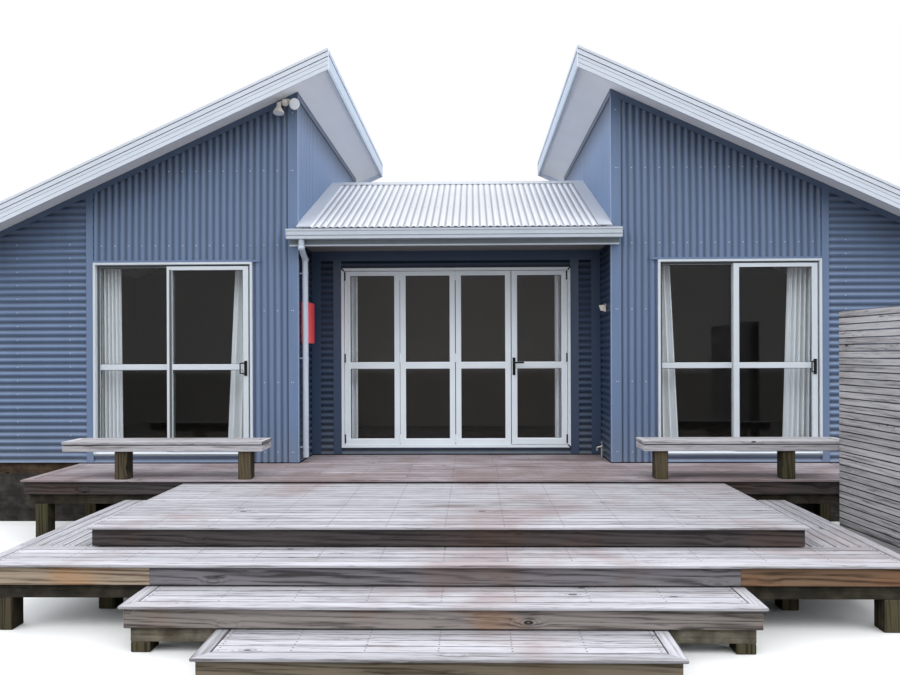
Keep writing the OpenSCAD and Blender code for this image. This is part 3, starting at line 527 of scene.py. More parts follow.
# The flashings also get painted shade in the recess.
blue_flashing = painted_sheet("blue flashing", wall_blue, 0.34, painted_shade_rule=under_eave,
                              recess_shade=0.85)
pale_trim = painted_sheet("pale trim", (216, 223, 234), 0.4, along_board, 0.06)
# The eave fascias get a darker copy of the pale trim: painted shade.
shaded_eave_paint = painted_sheet("shaded eave paint", (160, 174, 192), 0.4, along_board, 0.06)
pipe_paint = painted_sheet("pipe paint", (188, 197, 212), 0.32)
# A dark finish for the door channels and shaded stiles: painted shade.
channel_shade = painted_sheet("channel shade", (86, 90, 90), 0.6)
# A darker trim: painted shade on the boards behind the gutters, and a darker face on the sills.
dull_and_shaded_trim = painted_sheet("dull and shaded trim", (120, 130, 136), 0.45)
# Dark strips for thin gaps and steps: painted shadow lines.
gap_shadow = painted_sheet("gap shadow", (52, 62, 76), 0.7)
# A paler blue for the corner strips: painted highlight.
painted_edge_highlight = painted_sheet("painted edge highlight", (150, 166, 192), 0.3)
roof_steel = bare_sheet("roof steel", (222, 224, 232), 0.42, 0.15)
dull_roof = bare_sheet("dull roof steel", (170, 174, 182), 0.5, 0.1)
ridge_steel = bare_sheet("ridge steel", (200, 205, 214), 0.42, 0.15)
gutter_steel = bare_sheet("gutter steel", (196, 205, 216), 0.34, 0.25)
print("steel finishes ready")

# %% [markdown]
# ## Weathered timber
# Decking greys in the sun, keeps brown where it stays damp, and shows knots and fine raised
# grain. A photo of wood would repeat and would not turn with a mitred board. Noises drawn out
# along each board's own grain don't repeat, and they follow the board wherever it runs. The
# knots come first, because the grain bends round them.


# %% Knots, and the grain that bends round them
def knots_in(made, grain, rare):
    """How near each place is to a knot, from 0 to 1, and the grain place pushed round it. The
    nearer rare is to 1, the fewer the knots."""
    cells = made.node("ShaderNodeTexVoronoi")
    cells.inputs["Scale"].default_value = 1.0
    made.wire(made.stretch(grain, (3.2, 7.5, 7.5)), cells.inputs["Vector"])
    cell_tone = made.node("ShaderNodeSeparateColor")
    made.wire(cells.outputs["Color"], cell_tone.inputs[0])
    picked = made.maths("GREATER_THAN", cell_tone.outputs[0], rare)
    near = made.ramp(cells.outputs["Distance"], (0.0, 1.0), (0.42, 0.0))
    near = made.maths("MULTIPLY", near, picked)
    push = made.node("ShaderNodeCombineXYZ")
    aside = made.maths("MULTIPLY", near, 0.022)
    made.wire(aside, push.inputs["Y"])
    made.wire(aside, push.inputs["Z"])
    bent = made.node("ShaderNodeVectorMath", operation="ADD")
    made.wire(grain, bent.inputs[0])
    made.wire(push.outputs[0], bent.inputs[1])
    return near, bent.outputs[0]


print("knots ready")

# %% [markdown]
# The figure of the wood is what stays when the colour is taken away: long streaks in three
# widths, and faint year rings. It drives both the colour and the bump, so dark streaks lie
# a little lower, as soft wood does when it weathers.


# %% The figure of the wood
def wood_figure(made, grain, bands):
    """Three noises drawn out along the grain, and year rings as strong as bands."""
    rings = made.node("ShaderNodeTexWave", bands_direction="DIAGONAL")
    for socket, value in (("Scale", 15.0), ("Distortion", 9.0), ("Detail", 2.0),
                          ("Detail Scale", 1.2)):
        rings.inputs[socket].default_value = value
    made.wire(made.stretch(grain, (0.04, 1.0, 1.0)), rings.inputs["Vector"])
    figure = made.maths("MULTIPLY", rings.outputs["Fac"], bands)
    for scale, weight in (((6.0, 170.0, 170.0), 0.34), ((1.8, 52.0, 52.0), 0.34),
                          ((0.9, 9.0, 9.0), 0.32)):
        streaks = made.noise(made.stretch(grain, scale), 1.0, 5.0, 0.4)
        figure = made.maths("ADD", figure, made.maths("MULTIPLY", streaks, weight * (1 - bands)))
    return figure


print("figure ready")

# %% [markdown]
# Age comes on top of the figure in four layers: patches of stain, dark splits along the grain,
# dirt in the gaps at a board's edges, and the knots. On the screen the edge layer is strong
# enough to be a painted shade in the gaps between the slats. Each layer is one mix, so that it
# can be looked at alone by leaving out the others.


# %% The layers of age
def stained(made, wood, figure, stain, edge):
    """Patches that keep an older colour. edge gives where they start and where they are full."""
    patches = made.noise(made.place(), 1.1, 6.0, 0.5)
    share = made.ramp(patches, (edge[0], 0.0), (edge[1], 0.85))
    return made.mix(made.maths("MULTIPLY", share, figure), wood, stain)


def split_along(made, wood, grain, dark):
    """Fine dark splits along the grain."""
    splits = made.noise(made.stretch(grain, (5.0, 60.0, 60.0)), 1.0, 4.0)
    return made.mix(made.ramp(splits, (0.61, 0.0), (0.74, 0.6)), wood, dark)


def dirty_and_shaded_edges(made, wood, grain, dark, edge, grime_and_shade):
    """Darker colour along two edges of a board: dirt, and on the screen's slats painted shade in
    the gaps.
    """
    side = made.parts(made.attribute("across"))[edge]
    from_middle = made.maths("ABSOLUTE", made.maths("SUBTRACT", side, 0.5))
    patchy = made.ramp(made.noise(grain, 9.0), (0.30, grime_and_shade[1][1] / 2), (0.62, 1.0))
    return made.mix(made.maths("MULTIPLY", made.ramp(from_middle, *grime_and_shade), patchy), wood, dark)


def knotted(made, wood, near, dark):
    """The dark hearts of the knots, with rings round them."""
    ringed = made.maths("SINE", made.maths("MULTIPLY", near, 24.0))
    rings = made.maths("MULTIPLY", made.maths("MULTIPLY", ringed, near), 0.5)
    hearts = made.ramp(near, (0.66, 0.0), (0.80, 0.8))
    return made.mix(made.maths("ADD", hearts, rings), wood, dark)


print("layers ready")

# %% [markdown]
# All the timber of the house is one recipe with other colours. What differs from board to
# board comes from the board's own tone, and what differs from the deck to the screen comes
# from the settings.


# %% The timber recipe
def timber(name, pale, deep, stain, stain_edge=(0.52, 0.68), rare=0.80, bands=0.05, edge="X",
           grime_and_shade=((0.43, 0.0), (0.49, 0.8)), own_grain=True):
    """Weathered timber. stain_edge says how much of it the stain covers, bands how strongly the
    year rings show, edge which way of the board has darkened edges, and the grime and shade
    setting how dark they are at two distances from the middle of the board."""
    pale, deep, stain = (linear(*colour) for colour in (pale, deep, stain))
    middle = [0.30 * a + 0.70 * b for a, b in zip(deep, pale)]
    dark = [value * 0.30 for value in deep]
    made = Finish(name, pale, 0.88)
    made.set("Specular IOR Level", 0.25)
    near, grain = knots_in(made, made.attribute("grain") if own_grain else made.place(), rare)
    figure = wood_figure(made, grain, bands)
    wood = made.ramp(figure, (0.38, deep), (0.48, middle), (0.60, pale))
    wood = stained(made, wood, figure, stain, stain_edge)
    wood = split_along(made, wood, grain, dark)
    wood = dirty_and_shaded_edges(made, wood, grain, dark, edge, grime_and_shade)
    wood = knotted(made, wood, near, dark)
    tone = made.ramp(made.attribute("tone", "Fac"), (0.0, 0.76), (1.0, 1.0))
    made.colour(made.darken(wood, tone))
    made.bump(figure, 0.0012, 0.6)
    return made.material


# %% [markdown]
# Sun, shade and wet feet give each part of the deck its own grey. The open deck is silver,
# the verandah under the eaves keeps some brown, and the posts stay mossy near the ground.
# The screen's slats lie close together, and their darkened edges are a painted shade that draws
# the gaps between them.

# %% The timber finishes
grey_deck = timber("grey decking", (190, 189, 195), (122, 117, 119), (140, 112, 106))
damp_deck = timber("damp decking", (190, 181, 186), (104, 92, 92), (112, 80, 70), (0.42, 0.6))
bench_grey = timber("bench timber", (202, 200, 205), (124, 118, 118), (150, 98, 66),
                    (0.62, 0.72))
# The screen's strong edge darkening is painted shade in the gaps between the slats.
screen_grey = timber("screen timber", (182, 180, 182), (84, 80, 82), (130, 122, 112),
                     (0.55, 0.7), bands=0.04, edge="Y", grime_and_shade=((0.42, 0.0), (0.455, 1.3)))
mossy_post = timber("mossy post", (96, 85, 66), (40, 34, 25), (72, 78, 46), (0.45, 0.62),
                    bands=0.16)
# One timber in two copies: the lighter one is painted light on the step bearers, and the darker
# one is painted shade under the decks.
lit_bearer_timber = timber("lit bearer timber", (176, 168, 150), (106, 98, 84), (128, 104, 72),
                       (0.5, 0.66))
shaded_under_timber = timber("shaded under timber", (96, 90, 78), (44, 40, 34), (84, 78, 56), (0.45, 0.6))
room_floor = timber("room floor", (120, 98, 76), (78, 60, 46), (92, 70, 52), own_grain=False)
base_board = timber("base boards", (108, 104, 98), (60, 57, 54), (84, 76, 62),
                    own_grain=False)

# %% [markdown]
# The fascias tell the most about water: the top one is nearly black under the verandah's
# edge, the next is grey in the middle and has kept its orange at both ends, and the low ones
# pale towards the steps. Their year rings show, because they are wide boards sawn flat.

# %% The finishes of the fascias
fascia_colours = {
    "wet": ((84, 78, 78), (48, 44, 45), (104, 78, 60), (0.54, 0.70)),
    "grey": ((130, 127, 131), (74, 70, 73), (124, 100, 84), (0.56, 0.70)),
    "step": ((162, 154, 149), (90, 83, 79), (176, 126, 84), (0.54, 0.66)),
    "low": ((146, 134, 116), (80, 71, 58), (120, 96, 66), (0.50, 0.66)),
    "pale": ((184, 166, 146), (112, 96, 82), (204, 144, 84), (0.50, 0.60)),
    "russet": ((142, 114, 91), (74, 58, 46), (160, 100, 58), (0.50, 0.64)),
}
fascia_finishes = {look: timber(f"{look} fascia", *colours, rare=0.66, bands=0.18, edge="Y")
                   for look, colours in fascia_colours.items()}
print("timber finishes ready")

# %% [markdown]
# ## Joinery, linings and small things
# The door frames are powder-coated aluminium. The room linings have a dark colour, a painted
# shade for the dark rooms behind the glass. Handles are satin black, seals are rubber. All of
# these are smooth coats, and a barely seen cloudiness and a fine texture keep them from looking
# like bare colour.


# %% Smooth coats
def plain_coat(name, colour, roughness, grain_scale=220.0, metallic=0.0, spread=0.05, gloss=0.5):
    """A smooth coat with a barely seen texture."""
    colour = linear(*colour)
    made = Finish(name, colour, roughness, metallic)
    made.set("Specular IOR Level", gloss)
    place = made.place()
    made.colour(made.varied(made.noise(place, 2.4, 4.0), colour, spread, spread))
    made.bump(made.noise(place, grain_scale, 2.0), 0.0003, 0.3)
    return made.material


door_coat = plain_coat("door coat", (238, 246, 253), 0.33, spread=0.03)
slider_coat = plain_coat("slider coat", (212, 219, 226), 0.33, spread=0.03)
black_metal = plain_coat("black metal", (10, 10, 11), 0.5, gloss=0.25)
black_rubber = plain_coat("black rubber", (26, 26, 28), 0.75)
soffit_paint = plain_coat("soffit paint", (243, 246, 251), 0.6, 60.0, spread=0.02)
porch_paint = plain_coat("porch paint", (134, 133, 132), 0.6, 60.0)
# A dark lining colour: painted shade for the rooms behind the glass.
shaded_room_lining = plain_coat("shaded room lining", (110, 102, 94), 0.7, 90.0)
lamp_plastic = plain_coat("lamp plastic", (230, 223, 210), 0.4)
lamp_lens = plain_coat("lamp lens", (222, 228, 234), 0.12, 30.0, spread=0.14)
tap_metal = plain_coat("tap metal", (196, 194, 188), 0.3, 120.0, 0.8)
case_red = plain_coat("case red", (250, 82, 88), 0.28)
screw_metal = plain_coat("screw metal", (206, 210, 216), 0.3, 200.0, 0.6)
nail_metal = plain_coat("nail metal", (62, 54, 52), 0.6)
track_coat = plain_coat("track coat", (214, 216, 218), 0.4)
print("smooth coats ready")

# %% [markdown]
# ## Glass and cloth
# Real panes would be traced as thick glass, which is slow and noisy in a closed room. A faint
# grey coat that lets nearly all light pass, with strong reflections and a slight waviness,
# looks the same from the deck. The curtain cloth has a fine weave and the soft sheen of
# fibres.


# %% Glass and curtain cloth
def clear_glass(name):
    """Clear glass with a faint grey."""
    made = Finish(name, linear(30, 34, 36), 0.02)
    made.set("Alpha", 0.05)
    made.set("IOR", 3.0)
    made.bump(made.noise(made.place(), 1.1, 1.0), 0.0012, 0.5)
    return made.material


def woven_cloth(name, colour):
    """Curtain cloth with a fine weave."""
    colour = linear(*colour)
    made = Finish(name, colour, 0.9)
    made.set("Sheen Weight", 0.8)
    place = made.place()
    threads = made.node("ShaderNodeTexWave", bands_direction="Z")
    threads.inputs["Scale"].default_value = 160.0
    threads.inputs["Distortion"].default_value = 1.5
    made.wire(place, threads.inputs["Vector"])
    folds = made.noise(made.stretch(place, (6.0, 6.0, 0.4)), 1.0, 3.0)
    made.colour(made.varied(folds, colour, 0.08, 0.0))
    made.bump(threads.outputs["Fac"], 0.0003, 0.3)
    return made.material


pane_glass = clear_glass("pane glass")
curtain_cloth = woven_cloth("curtain cloth", (243, 249, 253))
print("glass and cloth ready")

# %% [markdown]
# ## Finishes on the carried-over solids
# A solid whose shape is already right could be made again here, but nothing would be gained.
# It keeps its mesh and only gets its finish.

# %% Dress the solids that stay
dressed = [
    (base_board, "foundation_walls"), (room_floor, "floors"),
    (shaded_room_lining, "front_wall_piers", "walls_over_doors", "inner_wall_piers", "side_walls",
     "rear_walls"),
    (blue_flashing, "wall_flashings"), (soffit_paint, "roof_decks"),
    (pale_trim, "barge_boards"), (shaded_eave_paint, "eave_fascias"), (gutter_steel, "gutters"),
    (pipe_paint, "downpipes"), (ridge_steel, "link_roof_flashings"),
    (porch_paint, "porch_soffits"), (door_coat, "folding_frame", "folding_leaves", "swing_leaf"),
    (slider_coat, "rear_windows", "left_sliding_panel", "right_sliding_panel"),
    (pane_glass, "fixed_glass", "swing_glass", "left_sliding_glass", "right_sliding_glass"),
    (black_metal, "swing_handle", "left_panel_handle", "right_panel_handle"),
    (track_coat, "curtain_tracks"), (lamp_plastic, "outdoor_lights"), (tap_metal, "garden_tap"),
]
for finish, *nodes in dressed:
    for node in nodes:
        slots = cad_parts[node].data.materials
        slots.clear()
        slots.append(finish)
    print(finish.name, "on", ", ".join(nodes))

# %% [markdown]
# ## Corrugated sheets
# Real sheet is a smooth wave, 76 mm from crest to crest and 16.5 mm deep. Copying one rib with
# an Array modifier would need a cut at every sloping soffit. Here a panel is one strip of
# narrow faces across the wave, whose two ends can follow any line, so walls and roofs come
# from the same function and no cut is needed.

# %% Make one corrugated panel
rib_pitch = 0.0762
rib_depth = 0.0165
rib_steps = 12


def rib_wave(place):
    """How far the sheet lies behind its crests."""
    return rib_depth / 2 * (1 - math.cos(2 * math.pi * place / rib_pitch))


def laid_from(corner, across, inwards, along):
    """Turns a place across the ribs, a depth and a place along the ribs into a point."""
    return lambda place, depth, reach: corner + across * place + inwards * depth + along * reach


def wall_back(depth):
    """A wall panel is flat behind, where it lies against the battens."""
    return clad_thick


def ribbed_panel(shape, put, start, end, low, high, foot=0.0, back=wall_back):
    """A panel across its ribs from start to end. low and high are its ends along the ribs, each
    a number or a rule that gives one for a place. The first crest is at foot."""
    def limit(rule, place):
        return rule(place) if callable(rule) else rule

    places = [start]
    while places[-1] + rib_pitch / rib_steps < end - 1e-6:
        places.append(places[-1] + rib_pitch / rib_steps)
    places.append(end)
    rows = []
    hollow = []
    for place in places:
        near, far = limit(low, place), limit(high, place)
        if far - near > 0.002:
            depth = rib_wave(place - foot)
            rows.append([put(place, depth, near), put(place, depth, far),
                         put(place, back(depth), far), put(place, back(depth), near)])
            hollow += [depth / rib_depth] * 4
    shape.rings(rows, hollow=hollow)


print("ribs", rib_pitch, "m apart and", rib_depth, "m deep")

# %% [markdown]
# ## Upright sheets
# The pod fronts and the inner walls above the link carry their ribs upright. A front is two
# panels, one beside the door and one over it. They stop just under the sloping soffit.

# %% Upright ribs on the pod fronts and on the inner walls above the link
slider_x = 2.250
slider_end_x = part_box("slider_frames")[1].x
head_height = 2.245
clad_foot = 0.010
upright = Shape()


def under_roof(across):
    return pod_soffit(corner_x + across) - 0.001


def above_link(across):
    return max(porch_height, link_top(across) + 0.004)


for side in (1, -1):
    pod_corner = at(side * corner_x, 0, 0)
    beside, over = slider_x - corner_x, slider_end_x - corner_x
    front = laid_from(pod_corner, side * X_AXIS, Y_AXIS, Z_AXIS)
    ribbed_panel(upright, front, 0, beside, clad_foot, under_roof)
    ribbed_panel(upright, front, beside, over, head_height, under_roof)
    inner_wall = laid_from(pod_corner, Y_AXIS, side * X_AXIS, Z_AXIS)
    ribbed_panel(upright, inner_wall, clad_thick, pod_depth - clad_thick, above_link,
                 high_wall - 0.001)
front_sheets = upright.piece("upright_sheets", blue_steel, "blue_cladding", sharp=50)
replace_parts(front_sheets, "vertical_cladding")

# %% [markdown]
# ## Level sheets
# Outside the doors, on the sides and at the back the ribs run level, which makes the pods
# look longer. A level panel is the same function turned on its side: its places are heights,
# and the rule for its far end follows the soffit as it falls.

# %% Level ribs on the outer fronts and the sides
pod_end_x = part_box("horizontal_cladding")[1].x
floor_rise = 0.087
floor_low = -0.113
seam = 0.001
level = Shape()


def reach_under_roof(height):
    """How far out a level rib can run at this height before it meets the pod's soffit."""
    return min(pod_end_x, corner_x + (high_wall - height) / pod_slope - 0.002)


for side in (1, -1):
    outwards = side * X_AXIS
    front = laid_from(at(0, 0, 0), Z_AXIS, Y_AXIS, outwards)
    ribbed_panel(level, front, clad_foot, pod_soffit(slider_end_x), slider_end_x,
                 reach_under_roof, clad_foot)
    ribbed_panel(level, front, clad_foot, floor_rise, slider_x, slider_end_x, clad_foot)
    outer_side = laid_from(at(side * pod_end_x, 0, 0), Z_AXIS, -outwards, Y_AXIS)
    ribbed_panel(level, outer_side, floor_low, pod_soffit(pod_end_x) - seam,
                 clad_thick + seam, pod_depth - clad_thick - seam, floor_low)

# %% [markdown]
# The rear repeats the sides, with one window to each pod. A wall with a hole would need a
# boolean. Four panels round the window make the same wall and keep the ribs in line, because
# all of them count their crests from the same foot.

# %% Level ribs on the back
window_low = head_height - 1.100
window_middle = corner_x + 0.900
window_half = 0.600
for side in (1, -1):
    pod_back = laid_from(at(0, pod_depth, 0), Z_AXIS, -Y_AXIS, side * X_AXIS)
    for bottom, top, near, far in (
            (floor_low, window_low, corner_x, pod_end_x),
            (window_low, head_height, corner_x, window_middle - window_half),
            (window_low, head_height, window_middle + window_half, pod_end_x),
            (head_height, high_wall, corner_x, reach_under_roof)):
        ribbed_panel(level, pod_back, bottom, top, near, far, floor_low)
    recess_wall = laid_from(at(side * corner_x, 0, 0), Z_AXIS, side * X_AXIS, Y_AXIS)
    ribbed_panel(level, recess_wall, floor_low, porch_height, pod_depth - recess_depth + seam,
                 pod_depth - clad_thick - seam, floor_low)
recess_end = corner_x + clad_thick
link_rear = laid_from(at(0, pod_depth - recess_depth, 0), Z_AXIS, -Y_AXIS, X_AXIS)
ribbed_panel(level, link_rear, floor_low, porch_height, -recess_end, recess_end, floor_low)
level_sheets = level.piece("level_sheets", blue_steel, "blue_cladding", sharp=50)
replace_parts(level_sheets, "horizontal_cladding")

# %% [markdown]
# The recess under the porch is clad in the same sheet. It is a piece of its own, so that it can
# have its own darker finish, a painted shade for the porch's shadow.

# %% Level ribs in the recess
fold_half = 1.375
recess = Shape()
for side in (1, -1):
    recess_wall = laid_from(at(side * corner_x, 0, 0), Z_AXIS, side * X_AXIS, Y_AXIS)
    ribbed_panel(recess, recess_wall, clad_foot, porch_height, clad_thick + seam,
                 recess_depth - seam, clad_foot)
recess_back = laid_from(at(0, recess_depth, 0), Z_AXIS, Y_AXIS, X_AXIS)
for bottom, top, near, far in (
        (clad_foot, floor_rise, -recess_end, recess_end),
        (floor_rise, head_height, -recess_end, -fold_half),
        (floor_rise, head_height, fold_half, recess_end),
        (head_height, porch_height, -recess_end, recess_end)):
    ribbed_panel(recess, recess_back, bottom, top, near, far, clad_foot)
recess_sheets = recess.piece("recess_sheets", shaded_recess_steel, "blue_cladding", sharp=50)
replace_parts(recess_sheets, "horizontal_cladding")

# %% [markdown]
# ## Roof sheets
# Roof sheets are the same wave laid down the slope. A wall panel may be flat behind, but a
# roof shows its edge, so its back follows the wave at 3 mm. The pods fall outwards, and the
# link falls to the front and to the back.

# %% Corrugated roofs
sheet_thick = 0.003
barge_y = -0.303
high_x = 1.360
low_x = 5.965
deck_rise = 0.120
link_half = 1.730
ridge_gap = 0.01
pod_fall = math.atan(pod_slope)
link_fall = math.atan(link_slope)


def sheet_back(depth):
    """A roof sheet keeps its thickness along the wave."""
    return depth + sheet_thick


pod_roofs = Shape()
pod_crests = pod_soffit(high_x) + deck_rise + (rib_depth + sheet_thick) / math.cos(pod_fall)
for side in (1, -1):
    down = Vector((side * math.cos(pod_fall), 0, -math.sin(pod_fall)))
    inwards = Vector((-side * math.sin(pod_fall), 0, -math.cos(pod_fall)))
    pod = laid_from(at(side * high_x, barge_y, pod_crests), Y_AXIS, inwards, down)
    ribbed_panel(pod_roofs, pod, 0, pod_depth - 2 * barge_y, 0,
                 (low_x - high_x) / math.cos(pod_fall), back=sheet_back)
link_roof = Shape()
link_run = (ridge_y - ridge_gap + link_overhang) / math.cos(link_fall)
for end in (1, -1):
    down = Vector((0, -end * math.cos(link_fall), -math.sin(link_fall)))
    inwards = Vector((0, -end * math.sin(link_fall), -math.cos(link_fall)))
    start = at(-link_half, ridge_y - end * ridge_gap, link_top(ridge_y - ridge_gap))
    ribbed_panel(link_roof, laid_from(start, X_AXIS, inwards, down), 0, 2 * link_half, 0,
                 link_run - rib_depth * math.tan(link_fall), back=sheet_back)
for shape, name, finish in ((pod_roofs, "pod_roof_sheets", dull_roof),
                            (link_roof, "link_roof_sheets", roof_steel)):
    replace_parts(shape.piece(name, finish, "roof_metal", sharp=50), "roof_sheets")

# %% [markdown]
# ## Screws
# Sheet is held by screws on every second crest, in level rows where the battens run. From the
# deck they are faint bright dots, and they give the wall its scale. Dots in the paint would
# vanish from the side, so each is a small six-sided head, and all of them are one piece.


# %% Screw heads
def screw_heads(shape, places, outward, radius=0.007, height=0.005):
    """Six-sided heads that stand outward from their places."""
    sideways = outward.orthogonal().normalized()
    other = outward.cross(sideways)
    for place in places:
        rim = [place + (sideways * math.cos(a) + other * math.sin(a)) * radius
               for a in (math.pi / 3 * k for k in range(6))]
        shape.rings([rim, [point + outward * height - (point - place) * 0.35 for point in rim]])


screws = Shape()
screw_rows = [0.123, 0.900, 1.700, 2.430, 3.260]
clear_of_trim = 0.02
clear_of_soffit = 0.05
for side in (1, -1):
    front_rows = []
    for height in screw_rows:
        for crest in range(1, 31, 2):
            x = corner_x + crest * rib_pitch
            in_door = slider_x - clear_of_trim < x and height < head_height
            if (not in_door and x < slider_end_x - clear_of_trim
                    and height < pod_soffit(x) - clear_of_soffit):
                front_rows.append(at(side * x, 0, height))
    corner_rows = [at(side * (corner_x + 0.055), -0.003, height) for height in screw_rows + [3.9]]
    outer_rows = [at(side * column, 0, clad_foot + crest * rib_pitch)
                  for column in (4.30, 4.90, 5.38) for crest in range(2, 34, 2)
                  if clad_foot + crest * rib_pitch < pod_soffit(column) - clear_of_soffit]
    screw_heads(screws, front_rows + corner_rows + outer_rows, -Y_AXIS)
screws.piece("wall_screws", screw_metal, "blue_cladding", smooth=False)

# %% [markdown]
# On a roof the screws go through the crests, where no water runs. Each slope of the link has
# four rows of them, square to its own slope.

# %% Screws of the link roof
roof_screws = Shape()
for end in (1, -1):
    places = []
    for share in (0.08, 0.36, 0.64, 0.9):
        y = ridge_y - end * share * (ridge_y + link_overhang)
        places += [at(crest * rib_pitch - link_half, y, link_top(y)) for crest in range(2, 44, 2)]
    screw_heads(roof_screws, places, Vector((0, -end * math.sin(link_fall), math.cos(link_fall))))
roof_screws.piece("roof_screws", gutter_steel, "roof_metal", smooth=False)

# %% [markdown]
# ## Decking
# Each level is framed by border boards that meet in mitres, and filled with boards that run
# along the house. One slab with dark lines would do from afar, but from the steps every board
# shows its own edge, height and grain, so every board is made. Two nails hold a board at each
# joist, so the nails line up in rows that run away from the steps.

# %% Border boards and nails
board_width = 0.088
board_gap = 0.005
nail_inset = 0.022
nails = Shape()


def nail_row(xs, ys, top):
    """Nail heads at every crossing of the given places."""
    places = [Vector((x, y, top)) for x in xs for y in ys]
    screw_heads(nails, places, Z_AXIS, 0.0062, 0.0004)


def border_boards(shape, low, high, top, thick, has):
    """The mitred boards round a rectangle, on the sides that has names with a 1."""
    x0, x1, y0, y1 = low.x, high.x, low.y, high.y
    base = top - thick
    for name, start, along, across, length, ends in (
            ("front", (x0, y0, base), X_AXIS, Y_AXIS, x1 - x0, ("left", "right")),
            ("back", (x0, y1, top), X_AXIS, -Y_AXIS, x1 - x0, ("left", "right")),
            ("left", (x0, y0, top), Y_AXIS, X_AXIS, y1 - y0, ("front", "back")),
            ("right", (x1, y0, base), Y_AXIS, -X_AXIS, y1 - y0, ("front", "back"))):
        if has[name]:
            board(shape, Vector(start), along, across, (length, board_width, thick),
                  [has[end] for end in ends], 0.5 if name == "front" else 0.0)


print("boards", board_width, "m wide with gaps of", board_gap, "m")

# %% [markdown]
# The boards inside the borders are ripped so that a whole number of them fits. Timber is sold
# in lengths, so each row of a wide level has a joint, over a joist picked by chance, as a
# builder who uses up offcuts would have it. Each row has settled by up to a millimetre.

# %% Lay one level of decking
joist_space = 0.450
longest_board = 5.4
settling = 0.0012


def lay_across(shape, low, high, top, thick, borders):
    """Boards along X in a rectangle. borders names the sides that get a border board."""
    has = {name: int(name in borders) for name in ("front", "back", "left", "right")}
    border_boards(shape, low, high, top, thick, has)
    step = board_width + board_gap
    x0, x1 = low.x + step * has["left"], high.x - step * has["right"]
    y0, y1 = low.y + step * has["front"], high.y - step * has["back"]
    rows = max(1, round((y1 - y0 + board_gap) / step))
    pitch = (y1 - y0 + board_gap) / rows
    joists = max(1, round((x1 - x0) / joist_space))
    for row in range(rows):
        y = y0 + row * pitch
        drop = chance.uniform(0.0002, settling)
        ends = [x0, x1]
        if x1 - x0 > longest_board:
            joint = chance.randint(joists // 4, 3 * joists // 4)
            ends = [x0, x0 + (x1 - x0) / joists * joint, x1]
        for start, end in zip(ends, ends[1:]):
            board(shape, Vector((start + 0.0008, y, top - thick - drop + settling)), X_AXIS,
                  Y_AXIS, (end - start - 0.0016, pitch - board_gap, thick - settling),
                  near_edge=0.0 if row or has["front"] else 0.5)
        xs = [x0 + 0.03 + (x1 - x0 - 0.06) * k / joists for k in range(joists + 1)]
        nail_row(xs, [y + nail_inset, y + pitch - board_gap - nail_inset], top - drop)
    print("rows of boards:", rows)


# %% [markdown]
# The verandah stays damp under the eaves and has its own finish. The main deck butts against
# it without a border, and the two steps are framed on three sides.

# %% The verandah, the main deck and the steps
plank = 0.020
verandah = Shape()
for low, high in solids("verandah_deck"):
    wide = high.x - low.x > 4
    lay_across(verandah, low, high, high.z, plank, ("front", "left", "right") if wide else ())
verandah_piece = verandah.piece("verandah_boards", damp_deck, "deck_boards", bevel=0.003)
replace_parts(verandah_piece, "verandah_deck")

main_level = Shape()
low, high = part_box("main_deck")
lay_across(main_level, low, high, high.z, plank, ())
main_piece = main_level.piece("main_deck_boards", grey_deck, "deck_boards", bevel=0.003)
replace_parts(main_piece, "main_deck")

step_boards = Shape()
for low, high in solids("steps"):
    lay_across(step_boards, low, high, high.z, plank, ("front", "left", "right"))
step_piece = step_boards.piece("step_boards", grey_deck, "deck_boards", bevel=0.003)
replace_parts(step_piece, "steps")

# %% [markdown]
# The lower deck wraps round the main one. Its front boards run along the house and its side
# boards run away from the steps, with a border board round the outside. So its two sides get
# rows of their own, turned by a quarter.

# %% The wrap-round lower deck
lower_level = Shape()
nail_space = 0.44


def lay_front(low, high):
    """The front run: three border boards, and rows along the house between them."""
    board(lower_level, Vector(low), X_AXIS, Y_AXIS, (high.x - low.x, board_width, plank), (1, 1),
          0.5)
    inset = board_width + board_gap
    lay_across(lower_level, Vector((low.x + inset, low.y + inset, low.z)),
               Vector((high.x - inset, high.y, high.z)), high.z, plank, ())
    for start, across in ((Vector((low.x, low.y, high.z)), X_AXIS),
                          (Vector((high.x, low.y, low.z)), -X_AXIS)):
        board(lower_level, start, Y_AXIS, across, (high.y - low.y, board_width, plank), (1, 0))


def lay_side(low, high):
    """A side run: columns of boards that run away from the steps."""
    columns = round((high.x - low.x + board_gap) / (board_width + board_gap))
    pitch = (high.x - low.x + board_gap) / columns
    for column in range(columns):
        x = low.x + column * pitch
        drop = chance.uniform(0.0002, settling)
        board(lower_level, Vector((x, low.y, high.z - drop)), Y_AXIS, X_AXIS,
              (high.y - low.y, pitch - board_gap, plank - settling))
        ys = [low.y + 0.04 + k * nail_space for k in range(5)]
        nail_row([x + nail_inset, x + pitch - board_gap - nail_inset],
                 [y for y in ys if y < high.y], high.z - drop)


for low, high in solids("lower_deck"):
    lay = lay_front if high.x - low.x > 2 else lay_side
    lay(low, high)
lower_piece = lower_level.piece("lower_deck_boards", grey_deck, "deck_boards", bevel=0.003)
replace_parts(lower_piece, "lower_deck")
nails.piece("deck_nails", nail_metal, "deck_boards", smooth=False)

# %% [markdown]
# ## Posts
# The posts are square timber, a little rounded by weather. The same board function makes them
# upright, so their grain runs from the ground to the bearers.

# %% Posts
posts = Shape()
for low, high in solids("timber_posts"):
    box_board(posts, low, high, 2)
post_piece = posts.piece("post_timbers", mossy_post, "post_timber", bevel=0.006)
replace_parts(post_piece, "timber_posts")

# %% [markdown]
# ## Benches
# A bench is a slatted seat with a mitred border, over edge boards that hide its frame. A thin
# dark line parts the two. It is a real gap, and the batten behind it has the darker copy of the
# timber, a painted shade that keeps the gap dark from every side.

